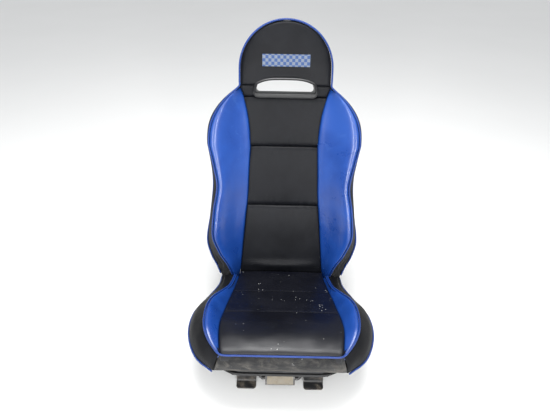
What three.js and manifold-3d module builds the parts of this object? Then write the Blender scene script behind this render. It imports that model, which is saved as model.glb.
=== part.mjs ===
// High-backed racing bucket seat for an off-road buggy, on a slider base with quick-release hooks.
// Millimetres, +Z up, +Y to the rear of the seat, +X to the right of someone looking at its front.
import * as THREE from "three";
import { mergeVertices } from "three/addons/utils/BufferGeometryUtils.js";
import Module from "manifold-3d";

const wasm = await Module();
wasm.setup();

// ---------- driving dimensions ----------
const GAP = 0.4; // between pieces that touch
// backrest, measured in its own leaning plane: s up the back, n towards the sitter
const RECLINE_DEG = 15;
const BACK_Y = 140; // the edge plane's place at the crease
const BACK_Z = 140;
const BACK_BOTTOM_S = -58; // where the shell ends, behind the cushion
const CREASE_HALF = 247;
const HIP_HALF = 268;
const HIP_S = 105;
const WAIST_HALF = 240;
const WAIST_S = 335;
const SHOULDER_HALF = 251;
const SHOULDER_S = 470;
const SHOULDER_ROUND = 2.6; // higher is squarer
const NECK_HALF = 146;
const NECK_S = 652;
const HEAD_RADIUS = 147;
const HEAD_CENTRE_S = 706;
// front edge of the back's bolsters
const CREASE_EDGE_HALF = 180;
const HIP_EDGE_HALF = 237;
const HIP_EDGE_S = 175;
const WAIST_EDGE_HALF = 219;
const SHOULDER_EDGE_HALF = 244;
const CREASE_EDGE_N = 62;
const HIP_EDGE_N = 100;
const WAIST_EDGE_N = 78;
const SHOULDER_EDGE_N = 70;
const NECK_EDGE_N = 30;
// centre panels of the back
const CENTRE_N = 22; // pad face above the edge plane
const PAD_BASE_N = 2; // underside of the back's pads
const SEAM_BOTTOM_HALF = 148;
const SEAM_HALF = 112;
const SEAM_S = 445;
const LUMBAR_SEAM_S = 252;
const CHEST_SEAM_S = 460;
const NECK_SEAM_S = 622;
const HEAD_SEAM_S = 658;
// moulded rear shell
const HEAD_CROWN = 10; // of the headrest pad above its own edge
const SHELL_WALL = 4;
const SHELL_DEPTH_LOW = 92;
const SHELL_DEPTH_HIGH = 46;
const SHELL_CLEARANCE = 5; // over the lower rails, which it slides above
// slot for the harness and for a hand
const SLOT_HALF = 95;
const SLOT_LOW_S = 632;
const SLOT_HIGH_S = 674;
const BEZEL_WALL = 5;
const BEZEL_FLANGE = 9;
const BEZEL_STAND = 1.81; // of the rear bezel behind the shell, beside the slot
// cushion, measured in the seat's own x, y and z
const CUSHION_FRONT_Y = -332;
const CUSHION_REAR_Y = 100;
const SIDE_REAR_Y = 42; // rear end of the cushion's black sides
const CUSHION_FRONT_Z = 237;
const CUSHION_REAR_Z = 146;
const CUSHION_PAD = 26;
const CUSHION_SEAM_REAR_HALF = 147;
const CUSHION_SEAM_HALF = 183;
const CUSHION_SEAM_FRONT_HALF = 172;
const CUSHION_EDGE_REAR_HALF = 172;
const CUSHION_EDGE_HALF = 227;
const CUSHION_EDGE_Y = -190; // where the cushion's top edge is widest
const CUSHION_EDGE_Z = 268;
const CUSHION_EDGE_REAR_Z = 218;
const CUSHION_OUTER_REAR_HALF = 216;
const CUSHION_OUTER_HALF = 284;
const CUSHION_OUTER_Y = -135;
const CUSHION_OUTER_Z = 178;
const CUSHION_OUTER_FRONT_HALF = 200;
const CUSHION_UNDER_FRONT_Y = -298;
const CUSHION_UNDER_Z = 132;
const CUSHION_FIRST_SEAM_Y = -155;
const CUSHION_SECOND_SEAM_Y = -35;
const PAN_RIM_Z = 132;
const PAN_WALL = 4;
const PAN_REAR_Y = 138;
const PAN_CORNER = 12; // height of the pan's upright wall above its sloping floor
const PAN_TUCK = 6; // from the covers' lower edge in to the pan's flange
const GUSSET = 7;
const PIPING_RADIUS = 3.2;
const PIPING_LIFT = 1.6; // of the piping off the covers' edges
// steel frame inside
const HOOP_RADIUS = 12.5;
const HOOP_HALF = 168;
const HOOP_TOP_S = 585;
const HOOP_N = -34;
const HOOP_FOOT_OUT = 8;
const HOOP_FOOT_S = -30;
const SIDE_PLATE = 5;
const PLATE_FRONT_Y = 62;
const BOLT_RADIUS = 4;
const BOLT_HEAD_RADIUS = 7.5;
const BOLT_HEAD = 5;
// slider and base
const RAIL_X = 75;
const RAIL_HALF = 20;
const RAIL_WALL = 2.5;
const RAIL_LIP = 8;
const LOWER_RAIL_Z = 46;
const LOWER_RAIL_HEIGHT = 22;
const UPPER_RAIL_TOP = 86;
const UPPER_RAIL_HALF = 11; // of its hollow rib, which runs between the lower rail's lips
const LOWER_RAIL_FRONT_Y = -238;
const LOWER_RAIL_REAR_Y = 172;
const UPPER_RAIL_FRONT_Y = -196;
const UPPER_RAIL_REAR_Y = 140;
const ROLLER_SPAN = 150;
const ROLLER_CLEARANCE = 0.2;
const CROSS_HALF = 150;
const CROSS_FRONT_Y = -240;
const CROSS_DEPTH = 36;
const CROSS_BOTTOM = 20;
const SHEET = 3; // pressed steel
const FLANGE_HOLE = 5.5;
const HOOK_X = 106;
const HOOK_HALF = 31;
const HOOK_REACH = 34;
const HOOK_SHEET = 5;
const PIVOT_Y = -170;
const PIVOT_Z = 70;
const PIVOT_PIN = 2.5;
const BAR_RADIUS = 5;
const GRIP_Y = -268;
const GRIP_Z = 50;
const GRIP_HALF = 44;
const GRIP_WIDTH = 38;
const GRIP_TILT_DEG = 47;
const REAR_CROSS_HALF = 112;
const REAR_CROSS_Y = 146;
const REAR_CROSS_DEPTH = 34;
const LATCH_Y = 196;
const LATCH_Z = 30;
const LATCH_PIN = 4;
const BADGE_S = 733;
const BADGE_HALF = 74;
const BADGE_HEIGHT = 36;

// ---------- colours ----------
const blueVinyl = () => new THREE.MeshStandardMaterial({ color: 0x1f4fc4, roughness: 0.32, metalness: 0 });
const blackVinyl = () => new THREE.MeshStandardMaterial({ color: 0x1b1c1f, roughness: 0.45, metalness: 0 });
const pipingVinyl = () => new THREE.MeshStandardMaterial({ color: 0x2450d0, roughness: 0.35,
  metalness: 0 });
const foam = () => new THREE.MeshStandardMaterial({ color: 0x2c2c2f, roughness: 0.95, metalness: 0 });
const mouldedPlastic = () => new THREE.MeshStandardMaterial({ color: 0x141416, roughness: 0.5,
  metalness: 0 });
const blackSteel = () => new THREE.MeshStandardMaterial({ color: 0x18181a, roughness: 0.45,
  metalness: 0.6 });
const zincSteel = () => new THREE.MeshStandardMaterial({ color: 0x9a9a96, roughness: 0.4, metalness: 0.9 });
const springSteel = () => new THREE.MeshStandardMaterial({ color: 0x55565a, roughness: 0.35,
  metalness: 0.9 });
const nylon = () => new THREE.MeshStandardMaterial({ color: 0xdedcd2, roughness: 0.6, metalness: 0 });
const fabricPatch = () => new THREE.MeshStandardMaterial({ color: 0x9aa4c8, roughness: 0.8, metalness: 0 });
const blankLabel = () => new THREE.MeshStandardMaterial({ color: 0xb0a184, roughness: 0.7, metalness: 0 });

// ---------- helpers ----------
const seat = new THREE.Group();
const mirror = (side, name) => name + (side < 0 ? "_left" : "_right");
const lerp = THREE.MathUtils.lerp;

// A value that eases from one station to the next: stations are [place, value], low place first.
function eased(...stations) {
  return (at) => {
    if (at <= stations[0][0]) return stations[0][1];
    for (let i = 1; i < stations.length; i++) {
      const [a, va] = stations[i - 1];
      const [b, vb] = stations[i];
      if (at <= b) return lerp(va, vb, THREE.MathUtils.smoothstep(at, a, b));
    }
    return stations.at(-1)[1];
  };
}

function solidFrom(geometry) {
  const bare = geometry.index ? geometry.toNonIndexed() : geometry.clone();
  const only = new THREE.BufferGeometry().setAttribute("position", bare.getAttribute("position"));
  const merged = mergeVertices(only, 1e-3);
  const mesh = new wasm.Mesh({
    numProp: 3,
    vertProperties: new Float32Array(merged.attributes.position.array),
    triVerts: new Uint32Array(merged.index.array),
  });
  const made = new wasm.Manifold(mesh);
  return made.volume() < 0 ? solidFrom(turnedOut(merged)) : made;
}

function turnedOut(geometry) {
  const index = Array.from(geometry.index.array);
  for (let i = 0; i < index.length; i += 3) [index[i + 1], index[i + 2]] = [index[i + 2], index[i + 1]];
  const turned = geometry.clone();
  turned.setIndex(index);
  return turned;
}

function geometryFrom(solid) {
  const m = solid.getMesh();
  const positions = new Float32Array(m.numVert * 3);
  for (let i = 0; i < m.numVert; i++) {
    positions.set(m.vertProperties.subarray(i * m.numProp, i * m.numProp + 3), i * 3);
  }
  const geometry = new THREE.BufferGeometry().setAttribute("position",
    new THREE.BufferAttribute(positions, 3));
  return geometry.setIndex(new THREE.BufferAttribute(m.triVerts, 1));
}

// The largest body of a solid, so that slivers left by a cut don't become pieces.
const mainBody = (solid) => solid.decompose().sort((a, b) => b.volume() - a.volume())[0];

function add(name, solid, material) {
  const mesh = new THREE.Mesh(geometryFrom(mainBody(solid).simplify(0.02)), material);
  mesh.name = name;
  seat.add(mesh);
  return solid;
}

// A closed solid through rings that have the same number of points, each a list of Vector3.
function loft(rings) {
  const count = rings[0].length;
  const positions = rings.flat().flatMap((p) => [p.x, p.y, p.z]);
  const index = [];
  for (let r = 0; r + 1 < rings.length; r++)
    for (let i = 0; i < count; i++) {
      const a = r * count + i;
      const b = r * count + ((i + 1) % count);
      const [p, q] = [rings[r][i], rings[r + 1][(i + 1) % count]];
      const [u, v] = [rings[r][(i + 1) % count], rings[r + 1][i]];
      // The shorter diagonal, so that two lofts that run beside each other fold the same way.
      if (p.distanceTo(q) < u.distanceTo(v) - 1e-4) index.push(a, b, b + count, a, b + count, a + count);
      else index.push(a, b, a + count, b, b + count, a + count);
    }
  for (const [start, flip] of [[0, true], [(rings.length - 1) * count, false]]) {
    const flat = ringPlane(rings[start / count]);
    for (const [a, b, c] of THREE.ShapeUtils.triangulateShape(flat, []))
      index.push(start + a, start + (flip ? c : b), start + (flip ? b : c));
  }
  const geometry = new THREE.BufferGeometry();
  geometry.setAttribute("position", new THREE.Float32BufferAttribute(positions, 3));
  geometry.setIndex(index);
  return solidFrom(geometry);
}

// A ring's points in its own plane, wound as the ring is, for its end cap.
function ringPlane(ring) {
  const normal = new THREE.Vector3();
  ring.forEach((p, i) => normal.add(new THREE.Vector3().crossVectors(p, ring[(i + 1) % ring.length])));
  normal.normalize();
  const helper = Math.abs(normal.x) > 0.9 ? new THREE.Vector3(0, 1, 0) : new THREE.Vector3(1, 0, 0);
  const across = new THREE.Vector3().crossVectors(helper, normal).normalize();
  const up = new THREE.Vector3().crossVectors(normal, across);
  return ring.map((p) => new THREE.Vector2(p.dot(across), p.dot(up)));
}

function box(x0, x1, y0, y1, z0, z1) {
  const g = new THREE.BoxGeometry(x1 - x0, y1 - y0, z1 - z0);
  return solidFrom(g.translate((x0 + x1) / 2, (y0 + y1) / 2, (z0 + z1) / 2));
}

// A round bar along X, from x0 to x1.
function crossBar(radius, x0, x1, y, z, sides = 20) {
  const g = new THREE.CylinderGeometry(radius, radius, x1 - x0, sides).rotateZ(Math.PI / 2);
  return solidFrom(g.translate((x0 + x1) / 2, y, z));
}

// A profile in the x-z plane, drawn as [x, z] points, run along Y.
function alongY(points, y0, y1) {
  const shape = new THREE.Shape(points.map(([x, z]) => new THREE.Vector2(x, z)));
  const g = new THREE.ExtrudeGeometry(shape, { depth: y1 - y0, bevelEnabled: false });
  return solidFrom(g.rotateX(Math.PI / 2).translate(0, y1, 0));
}

// A profile in the y-z plane, drawn as [y, z] points, run along X.
function alongX(points, x0, x1) {
  const rings = [x0, x1].map((x) => points.map(([y, z]) => new THREE.Vector3(x, y, z)));
  return loft(rings);
}

function tube(points, radius, steps, sides = 6, closed = false) {
  const path = new THREE.CatmullRomCurve3(points, closed, "centripetal");
  const circle = new THREE.Shape();
  for (let i = 0; i < sides; i++) {
    const a = (i / sides) * 2 * Math.PI;
    if (i) circle.lineTo(radius * Math.cos(a), radius * Math.sin(a));
    else circle.moveTo(radius * Math.cos(a), radius * Math.sin(a));
  }
  return solidFrom(new THREE.ExtrudeGeometry(circle, { steps, extrudePath: path, bevelEnabled: false }));
}

// ---------- the backrest's shape ----------
const LEAN = THREE.MathUtils.degToRad(RECLINE_DEG);
const onBack = (x, s, n) => new THREE.Vector3(
  x,
  BACK_Y + s * Math.sin(LEAN) - n * Math.cos(LEAN),
  BACK_Z + s * Math.cos(LEAN) + n * Math.sin(LEAN),
);
const HEAD_TOP_S = HEAD_CENTRE_S + HEAD_RADIUS;
const roundShoulder = (s, half) => {
  const t = THREE.MathUtils.clamp((s - SHOULDER_S) / (NECK_S - SHOULDER_S), 0, 1);
  return NECK_HALF + (half - NECK_HALF) * (1 - t ** SHOULDER_ROUND);
};
const headHalf = (s) => (s <= HEAD_CENTRE_S
  ? lerp(NECK_HALF, HEAD_RADIUS, THREE.MathUtils.smoothstep(s, NECK_S, HEAD_CENTRE_S))
  : Math.sqrt(Math.max(0, HEAD_RADIUS ** 2 - (s - HEAD_CENTRE_S) ** 2)));
const lowOuter = eased([BACK_BOTTOM_S, CREASE_HALF - 12], [HIP_S, HIP_HALF], [WAIST_S, WAIST_HALF],
  [SHOULDER_S, SHOULDER_HALF]);
const lowEdge = eased([0, CREASE_EDGE_HALF], [HIP_EDGE_S, HIP_EDGE_HALF], [WAIST_S, WAIST_EDGE_HALF],
  [SHOULDER_S, SHOULDER_EDGE_HALF]);
const outerHalf = (s) => (s <= SHOULDER_S ? lowOuter(s) : s <= NECK_S ? roundShoulder(s, SHOULDER_HALF)
  : headHalf(s));
const edgeHalf = (s) => (s <= SHOULDER_S ? lowEdge(s) : s <= NECK_S ? roundShoulder(s, SHOULDER_EDGE_HALF)
  : headHalf(s));
const edgeN = eased([0, CREASE_EDGE_N], [HIP_EDGE_S, HIP_EDGE_N], [WAIST_S, WAIST_EDGE_N],
  [SHOULDER_S, SHOULDER_EDGE_N], [NECK_S, NECK_EDGE_N]);
const seamHalf = (s) => (s <= SEAM_S
  ? lerp(SEAM_BOTTOM_HALF, SEAM_HALF, THREE.MathUtils.smoothstep(s, 0, SEAM_S))
  : SEAM_HALF + (NECK_HALF - SEAM_HALF) * ((s - SEAM_S) / (NECK_S - SEAM_S)) ** SHOULDER_ROUND);
const shellDepth = eased([BACK_BOTTOM_S, SHELL_DEPTH_LOW], [HEAD_CENTRE_S, SHELL_DEPTH_HIGH],
  [HEAD_TOP_S, SHELL_DEPTH_HIGH * 0.72]);

// Stations up the back, closer together where the outline turns quickly.
function stations(from, to, most = 46) {
  const turns = [SHOULDER_S, 540, 580, 606, 624, 638, NECK_S, 680, HEAD_CENTRE_S];
  const dome = [0.25, 0.45, 0.63, 0.78, 0.89, 0.96].map((q) =>
    HEAD_CENTRE_S + HEAD_RADIUS * Math.sin((q * Math.PI) / 2));
  const fixed = [from, to, ...turns, ...dome].filter((s) => s >= from && s <= to).sort((a, b) => a - b);
  const list = [fixed[0]];
  for (const s of fixed.slice(1)) {
    const last = list.at(-1);
    const parts = Math.ceil((s - last) / most);
    for (let k = 1; k <= parts; k++) if (s - last > 1) list.push(last + ((s - last) * k) / parts);
  }
  return list;
}

// ---------- rear shell, foam and the slot ----------
// Half an oval, open to the sitter's side, of half-width w and depth d.
function shellRing(s, shrink, front, count = 10) {
  const w = Math.max(outerHalf(s) - shrink, 2);
  const d = Math.max(shellDepth(s) * Math.min(1, outerHalf(s) / 60) - shrink, 1.5);
  const ring = [];
  for (let i = 0; i <= count; i++) {
    const a = (i / count) * Math.PI;
    const flat = Math.sign(Math.cos(a)) * Math.abs(Math.cos(a)) ** 0.72;
    ring.push(onBack(w * flat, s, -d * Math.sin(a) ** 0.72));
  }
  if (front > 0) return [onBack(w, s, front), ...ring, onBack(-w, s, front)];
  return ring;
}

const slotOutline = (grow) => {
  const low = SLOT_LOW_S - grow;
  const high = SLOT_HIGH_S + grow;
  const half = SLOT_HALF + grow;
  const r = 10;
  const shape = new THREE.Shape();
  shape.moveTo(-half + r, low);
  shape.lineTo(half - r, low);
  shape.quadraticCurveTo(half, low, half, low + r);
  shape.quadraticCurveTo(half - 2, high - 12, half - 26, high - 5);
  shape.quadraticCurveTo(0, high + 5, -half + 26, high - 5);
  shape.quadraticCurveTo(-half + 2, high - 12, -half, low + r);
  shape.quadraticCurveTo(-half, low, -half + r, low);
  return shape;
};

// A shape drawn in the back's plane, run from n0 to n1.
function throughBack(shape, n0, n1, curveSegments = 5) {
  const g = new THREE.ExtrudeGeometry(shape, { depth: n1 - n0, bevelEnabled: false, curveSegments });
  const p = g.getAttribute("position");
  for (let i = 0; i < p.count; i++) {
    const v = onBack(p.getX(i), p.getY(i), n0 + p.getZ(i));
    p.setXYZ(i, v.x, v.y, v.z);
  }
  return solidFrom(g);
}

const slotCut = throughBack(slotOutline(BEZEL_WALL + GAP), -150, 150);
const shellOutside = loft(stations(BACK_BOTTOM_S, HEAD_TOP_S - 1).map((s) => shellRing(s, 0, 0)));
const shellInside = loft(stations(BACK_BOTTOM_S - 5, HEAD_TOP_S - 6)
  .map((s) => shellRing(s, SHELL_WALL, 30)));
// The shell's foot is cut level, above the rails.
const shellFoot = box(-400, 400, -100, 400, 0, LOWER_RAIL_Z + LOWER_RAIL_HEIGHT + SHELL_CLEARANCE);
add("back_shell", shellOutside.subtract(shellInside).subtract(slotCut).subtract(shellFoot),
  mouldedPlastic());

const hoopPath = (side) => [
  onBack(side * (HOOP_HALF + HOOP_FOOT_OUT), HOOP_FOOT_S, HOOP_N),
  onBack(side * (HOOP_HALF + 4), 120, HOOP_N),
  onBack(side * (HOOP_HALF - 12), 320, HOOP_N + 4),
  onBack(side * (HOOP_HALF - 14), 500, HOOP_N + 6),
  onBack(side * (HOOP_HALF - 40), HOOP_TOP_S - 16, HOOP_N + 8),
  onBack(side * (HOOP_HALF - 84), HOOP_TOP_S, HOOP_N + 8),
];
const hoopPoints = [...hoopPath(-1), ...hoopPath(1).reverse()];
add("back_frame_hoop", tube(hoopPoints, HOOP_RADIUS, 28, 7), blackSteel());
// The foam lies in front of the hoop.
const FOAM_BACK_N = HOOP_N + HOOP_RADIUS + 12;
const backFoam = loft(stations(10, HEAD_TOP_S - 14, 60).map((s) => {
  const half = outerHalf(s) - SHELL_WALL * 2.5;
  return [onBack(half, s, 0), onBack(half * 0.93, s, FOAM_BACK_N), onBack(-half * 0.93, s, FOAM_BACK_N),
    onBack(-half, s, 0)];
})).subtract(slotCut);
add("back_foam", backFoam, foam());

// ---------- back covers: centre panels, bolsters, side gussets, headrest ----------
function centrePanel(s0, s1, crown) {
  const rings = [];
  const steps = Math.max(3, Math.round((s1 - s0) / 45));
  for (let k = 0; k <= steps; k++) {
    const s = lerp(s0 + GAP, s1 - GAP, k / steps);
    const half = seamHalf(s) - GAP;
    const rise = CENTRE_N + crown * Math.sin((k / steps) * Math.PI);
    rings.push([
      onBack(-half, s, PAD_BASE_N), onBack(half, s, PAD_BASE_N), onBack(half, s, CENTRE_N - 3),
      onBack(half * 0.6, s, rise), onBack(-half * 0.6, s, rise), onBack(-half, s, CENTRE_N - 3),
    ]);
  }
  return loft(rings);
}
add("back_panel_lower", centrePanel(-8, LUMBAR_SEAM_S, 8), blackVinyl());
add("back_panel_middle", centrePanel(LUMBAR_SEAM_S, CHEST_SEAM_S, 3), blackVinyl());
add("back_panel_upper", centrePanel(CHEST_SEAM_S, NECK_SEAM_S, 2), blackVinyl());

// The bolster's face from the seam to its front edge, as [x, n] for a share t of the way.
function bolsterFace(s, t) {
  const seam = seamHalf(s);
  const edge = edgeHalf(s) - GUSSET;
  const low = CENTRE_N - 3;
  const high = edgeN(s);
  const u = 1 - t;
  const w = edge - seam;
  const h = high - low;
  const xs = [seam, seam + 0.4 * w, seam + 0.62 * w, edge];
  const ns = [low, low + 0.2 * h, high + 0.26 * h, high];
  const mix = (p) => u ** 3 * p[0] + 3 * u * u * t * p[1] + 3 * u * t * t * p[2] + t ** 3 * p[3];
  return [mix(xs), mix(ns)];
}
// The gusset's outer wall, from the bolster's front edge back to the shell's edge.
const gussetX = (s, q) => lerp(edgeHalf(s), outerHalf(s) - 1, q) + 5 * Math.sin(q * Math.PI);
const gussetN = (s, q) => lerp(edgeN(s), PAD_BASE_N, q);
const GUSSET_STEPS = [0, 0.33, 0.67, 1];
const BOLSTER_TOP_S = NECK_S - 14;
const bolsterStations = stations(0, BOLSTER_TOP_S, 46);
const gussetStations = [...bolsterStations, NECK_S - 6];
const loftOnBack = (side, list, ring) => loft(list.map((s) =>
  ring(s).map(([x, n]) => onBack(side * x, s, n))));

const backPipingPath = () => {
  const climb = stations(4, HEAD_TOP_S - 3, 52);
  const at = (side, s) => onBack(side * (edgeHalf(s) - GUSSET / 2), s,
    edgeN(s) + PIPING_RADIUS + PIPING_LIFT);
  const crown = onBack(0, HEAD_TOP_S + 1, NECK_EDGE_N + PIPING_RADIUS + PIPING_LIFT);
  return [...climb.map((s) => at(-1, s)), crown, ...climb.reverse().map((s) => at(1, s))];
};
add("back_piping_front", tube(backPipingPath(), PIPING_RADIUS, 72), pipingVinyl());

for (const side of [-1, 1]) {
  const bolster = loftOnBack(side, bolsterStations, (s) => {
    const face = [0, 0.2, 0.4, 0.6, 0.8, 1].map((t) => bolsterFace(s, t));
    face[0][0] += GAP;
    const wall = GUSSET_STEPS.slice(1).map((q) => [Math.max(gussetX(s, q) - GUSSET - GAP, seamHalf(s) + 3),
      gussetN(s, q)]);
    return [[seamHalf(s) + GAP, PAD_BASE_N], ...face, ...wall];
  });
  add(mirror(side, "back_bolster"), bolster, blueVinyl());
  const gusset = loftOnBack(side, gussetStations, (s) => {
    const outside = GUSSET_STEPS.map((q) => [gussetX(s, q), gussetN(s, q)]);
    const inside = GUSSET_STEPS.map((q) => [gussetX(s, q) - GUSSET + GAP, gussetN(s, q)]).reverse();
    return [...outside, ...inside];
  });
  add(mirror(side, "back_gusset"), gusset, blackVinyl());
}

// The headrest: a crowned pad under a round top, and the neck strip that the slot passes through.
function headRing(s, s0) {
  const half = headHalf(Math.min(s, HEAD_TOP_S)) - 2;
  const near = THREE.MathUtils.clamp((HEAD_TOP_S - 6 - s) / 50, 0, 1);
  const top = NECK_EDGE_N - 4 + HEAD_CROWN * Math.sqrt(near * Math.min(1, 0.4 + (s - s0) / 90));
  return [
    onBack(-half, s, PAD_BASE_N), onBack(half, s, PAD_BASE_N), onBack(half, s, NECK_EDGE_N - 4),
    onBack(half * 0.8, s, top), onBack(-half * 0.8, s, top), onBack(-half, s, NECK_EDGE_N - 4),
  ];
}
const headStations = stations(HEAD_SEAM_S + GAP, HEAD_TOP_S - 3, 40);
const headPad = loft(headStations.map((s) => headRing(s, HEAD_SEAM_S)));
add("headrest_pad", headPad.subtract(slotCut), blackVinyl());
const badgeShape = new THREE.Shape([[-1, 0], [1, 0], [1, 1], [-1, 1]]
  .map(([a, b]) => new THREE.Vector2(a * BADGE_HALF, BADGE_S - BADGE_HEIGHT / 2 + b * BADGE_HEIGHT)));
const badgeN = NECK_EDGE_N - 4 + HEAD_CROWN + GAP;
add("headrest_patch", throughBack(badgeShape, badgeN, badgeN + 1.2), fabricPatch());
const neckStrip = loft([NECK_SEAM_S + GAP, 640, HEAD_SEAM_S - GAP].map((s) => {
  const half = Math.min(seamHalf(s), NECK_HALF) - 3;
  return [onBack(-half, s, PAD_BASE_N), onBack(half, s, PAD_BASE_N), onBack(half, s, CENTRE_N + 2),
    onBack(-half, s, CENTRE_N + 2)];
}));
add("neck_strip", neckStrip.subtract(slotCut), blackVinyl());

// Two bezels line the slot from the front and from the back and meet in the middle.
const slotHole = throughBack(slotOutline(0), -150, 150);
const bezelSleeve = (n0, n1) => throughBack(slotOutline(BEZEL_WALL), n0, n1);
const bezelFlange = (n0, n1) => throughBack(slotOutline(BEZEL_WALL + BEZEL_FLANGE), n0, n1);
const HEAD_FACE_N = NECK_EDGE_N + 7;
const shellBackN = -shellDepth(SLOT_LOW_S - BEZEL_WALL - BEZEL_FLANGE) - BEZEL_STAND;
add("slot_bezel_front",
  bezelSleeve(-8, HEAD_FACE_N + 2).add(bezelFlange(HEAD_FACE_N, HEAD_FACE_N + 4)).subtract(slotHole),
  mouldedPlastic());
add("slot_bezel_rear",
  bezelSleeve(shellBackN - 2, -8 - GAP).add(bezelFlange(shellBackN - 3, shellBackN)).subtract(slotHole),
  mouldedPlastic());

// Outer piping, pinched between the gusset and the shell's edge.
for (const side of [-1, 1]) {
  const path = stations(-30, SHOULDER_S + 100, 60)
    .map((s) => onBack(side * (outerHalf(s) + PIPING_RADIUS + GAP), s, PAD_BASE_N));
  add(mirror(side, "back_piping_outer"), tube(path, PIPING_RADIUS, 24), pipingVinyl());
}

// ---------- the cushion's shape ----------
const CUSHION_CORNER_Y = CUSHION_FRONT_Y + 8;
const cushionTop = (y) => lerp(CUSHION_FRONT_Z, CUSHION_REAR_Z,
  THREE.MathUtils.clamp((y - CUSHION_FRONT_Y - 42) / (CUSHION_REAR_Y - CUSHION_FRONT_Y - 42), 0,
  1) ** 1.12);
const cushionSeam = eased([CUSHION_CORNER_Y, CUSHION_SEAM_FRONT_HALF], [-215, CUSHION_SEAM_HALF],
  [CUSHION_REAR_Y, CUSHION_SEAM_REAR_HALF]);
const rearEdge = eased([CUSHION_EDGE_Y, CUSHION_EDGE_HALF], [0, CUSHION_EDGE_REAR_HALF]);
const cushionEdge = (y) => {
  if (y > CUSHION_EDGE_Y) return rearEdge(y);
  const t = THREE.MathUtils.clamp((CUSHION_EDGE_Y - y) / (CUSHION_EDGE_Y - CUSHION_CORNER_Y), 0, 1);
  return lerp(CUSHION_EDGE_HALF, CUSHION_SEAM_FRONT_HALF + 2, t ** SHOULDER_ROUND);
};
const cushionEdgeZ = eased([CUSHION_CORNER_Y, CUSHION_FRONT_Z], [CUSHION_EDGE_Y, CUSHION_EDGE_Z],
  [0, CUSHION_EDGE_REAR_Z], [60, CUSHION_EDGE_REAR_Z - 12]);

// Points of the top edge and of the underside edge for a share q of the way from the rear to the front
// corner.
const cushionEdgePoint = (side, q) => {
  const y = lerp(SIDE_REAR_Y, CUSHION_CORNER_Y, q);
  return new THREE.Vector3(side * cushionEdge(y), y, cushionEdgeZ(y));
};
const outerCurve = new THREE.CatmullRomCurve3([
  new THREE.Vector3(CUSHION_OUTER_REAR_HALF, SIDE_REAR_Y + 34, CUSHION_OUTER_Z + 12),
  new THREE.Vector3((CUSHION_OUTER_REAR_HALF + CUSHION_OUTER_HALF) / 2 + 8, -45, CUSHION_OUTER_Z + 6),
  new THREE.Vector3(CUSHION_OUTER_HALF, CUSHION_OUTER_Y, CUSHION_OUTER_Z),
  new THREE.Vector3(CUSHION_OUTER_HALF - 16, -225, CUSHION_OUTER_Z - 14),
  new THREE.Vector3(CUSHION_OUTER_FRONT_HALF + 32, -282, CUSHION_UNDER_Z + 10),
  new THREE.Vector3(CUSHION_OUTER_FRONT_HALF, CUSHION_UNDER_FRONT_Y, CUSHION_UNDER_Z),
], false, "centripetal");
const cushionOuterPoint = (side, q) => {
  const p = outerCurve.getPointAt(q);
  return new THREE.Vector3(side * p.x, p.y, p.z);
};

// ---------- cushion covers ----------
function cushionPanel(y0, y1) {
  const rings = [];
  const steps = Math.max(3, Math.round((y1 - y0) / 32));
  for (let k = 0; k <= steps; k++) {
    const y = lerp(y0 + GAP, y1 - GAP, k / steps);
    const half = cushionSeam(y) - GAP;
    const top = cushionTop(y);
    rings.push([
      new THREE.Vector3(-half, y, top - CUSHION_PAD), new THREE.Vector3(half, y, top - CUSHION_PAD),
      new THREE.Vector3(half, y, top - 3), new THREE.Vector3(half * 0.62, y, top + 4),
      new THREE.Vector3(-half * 0.62, y, top + 4), new THREE.Vector3(-half, y, top - 3),
    ]);
  }
  return loft(rings);
}
add("cushion_panel_front", cushionPanel(CUSHION_FRONT_Y + GUSSET * 2 + 2, CUSHION_FIRST_SEAM_Y),
  blackVinyl());
add("cushion_panel_middle", cushionPanel(CUSHION_FIRST_SEAM_Y, CUSHION_SECOND_SEAM_Y), blackVinyl());
add("cushion_panel_rear", cushionPanel(CUSHION_SECOND_SEAM_Y, CUSHION_REAR_Y), blackVinyl());

const cushionPipingPath = () => {
  const points = [];
  const lift = PIPING_RADIUS + PIPING_LIFT;
  for (let k = 0; k <= 13; k++) {
    const p = cushionEdgePoint(-1, k / 14);
    points.push(p.add(new THREE.Vector3(GUSSET / 2, 0, lift)));
  }
  for (const x of [-CUSHION_SEAM_FRONT_HALF + 14, -80, 0, 80, CUSHION_SEAM_FRONT_HALF - 14])
    points.push(new THREE.Vector3(x, CUSHION_FRONT_Y + GUSSET / 2, CUSHION_FRONT_Z + lift));
  for (let k = 13; k >= 0; k--) {
    const p = cushionEdgePoint(1, k / 14);
    points.push(p.add(new THREE.Vector3(-GUSSET / 2, 0, lift)));
  }
  return points;
};
add("cushion_piping_top", tube(cushionPipingPath(), PIPING_RADIUS, 56), pipingVinyl());

const CUSHION_SKIRT_STEPS = [0, 0.3, 0.65, 1];
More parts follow.
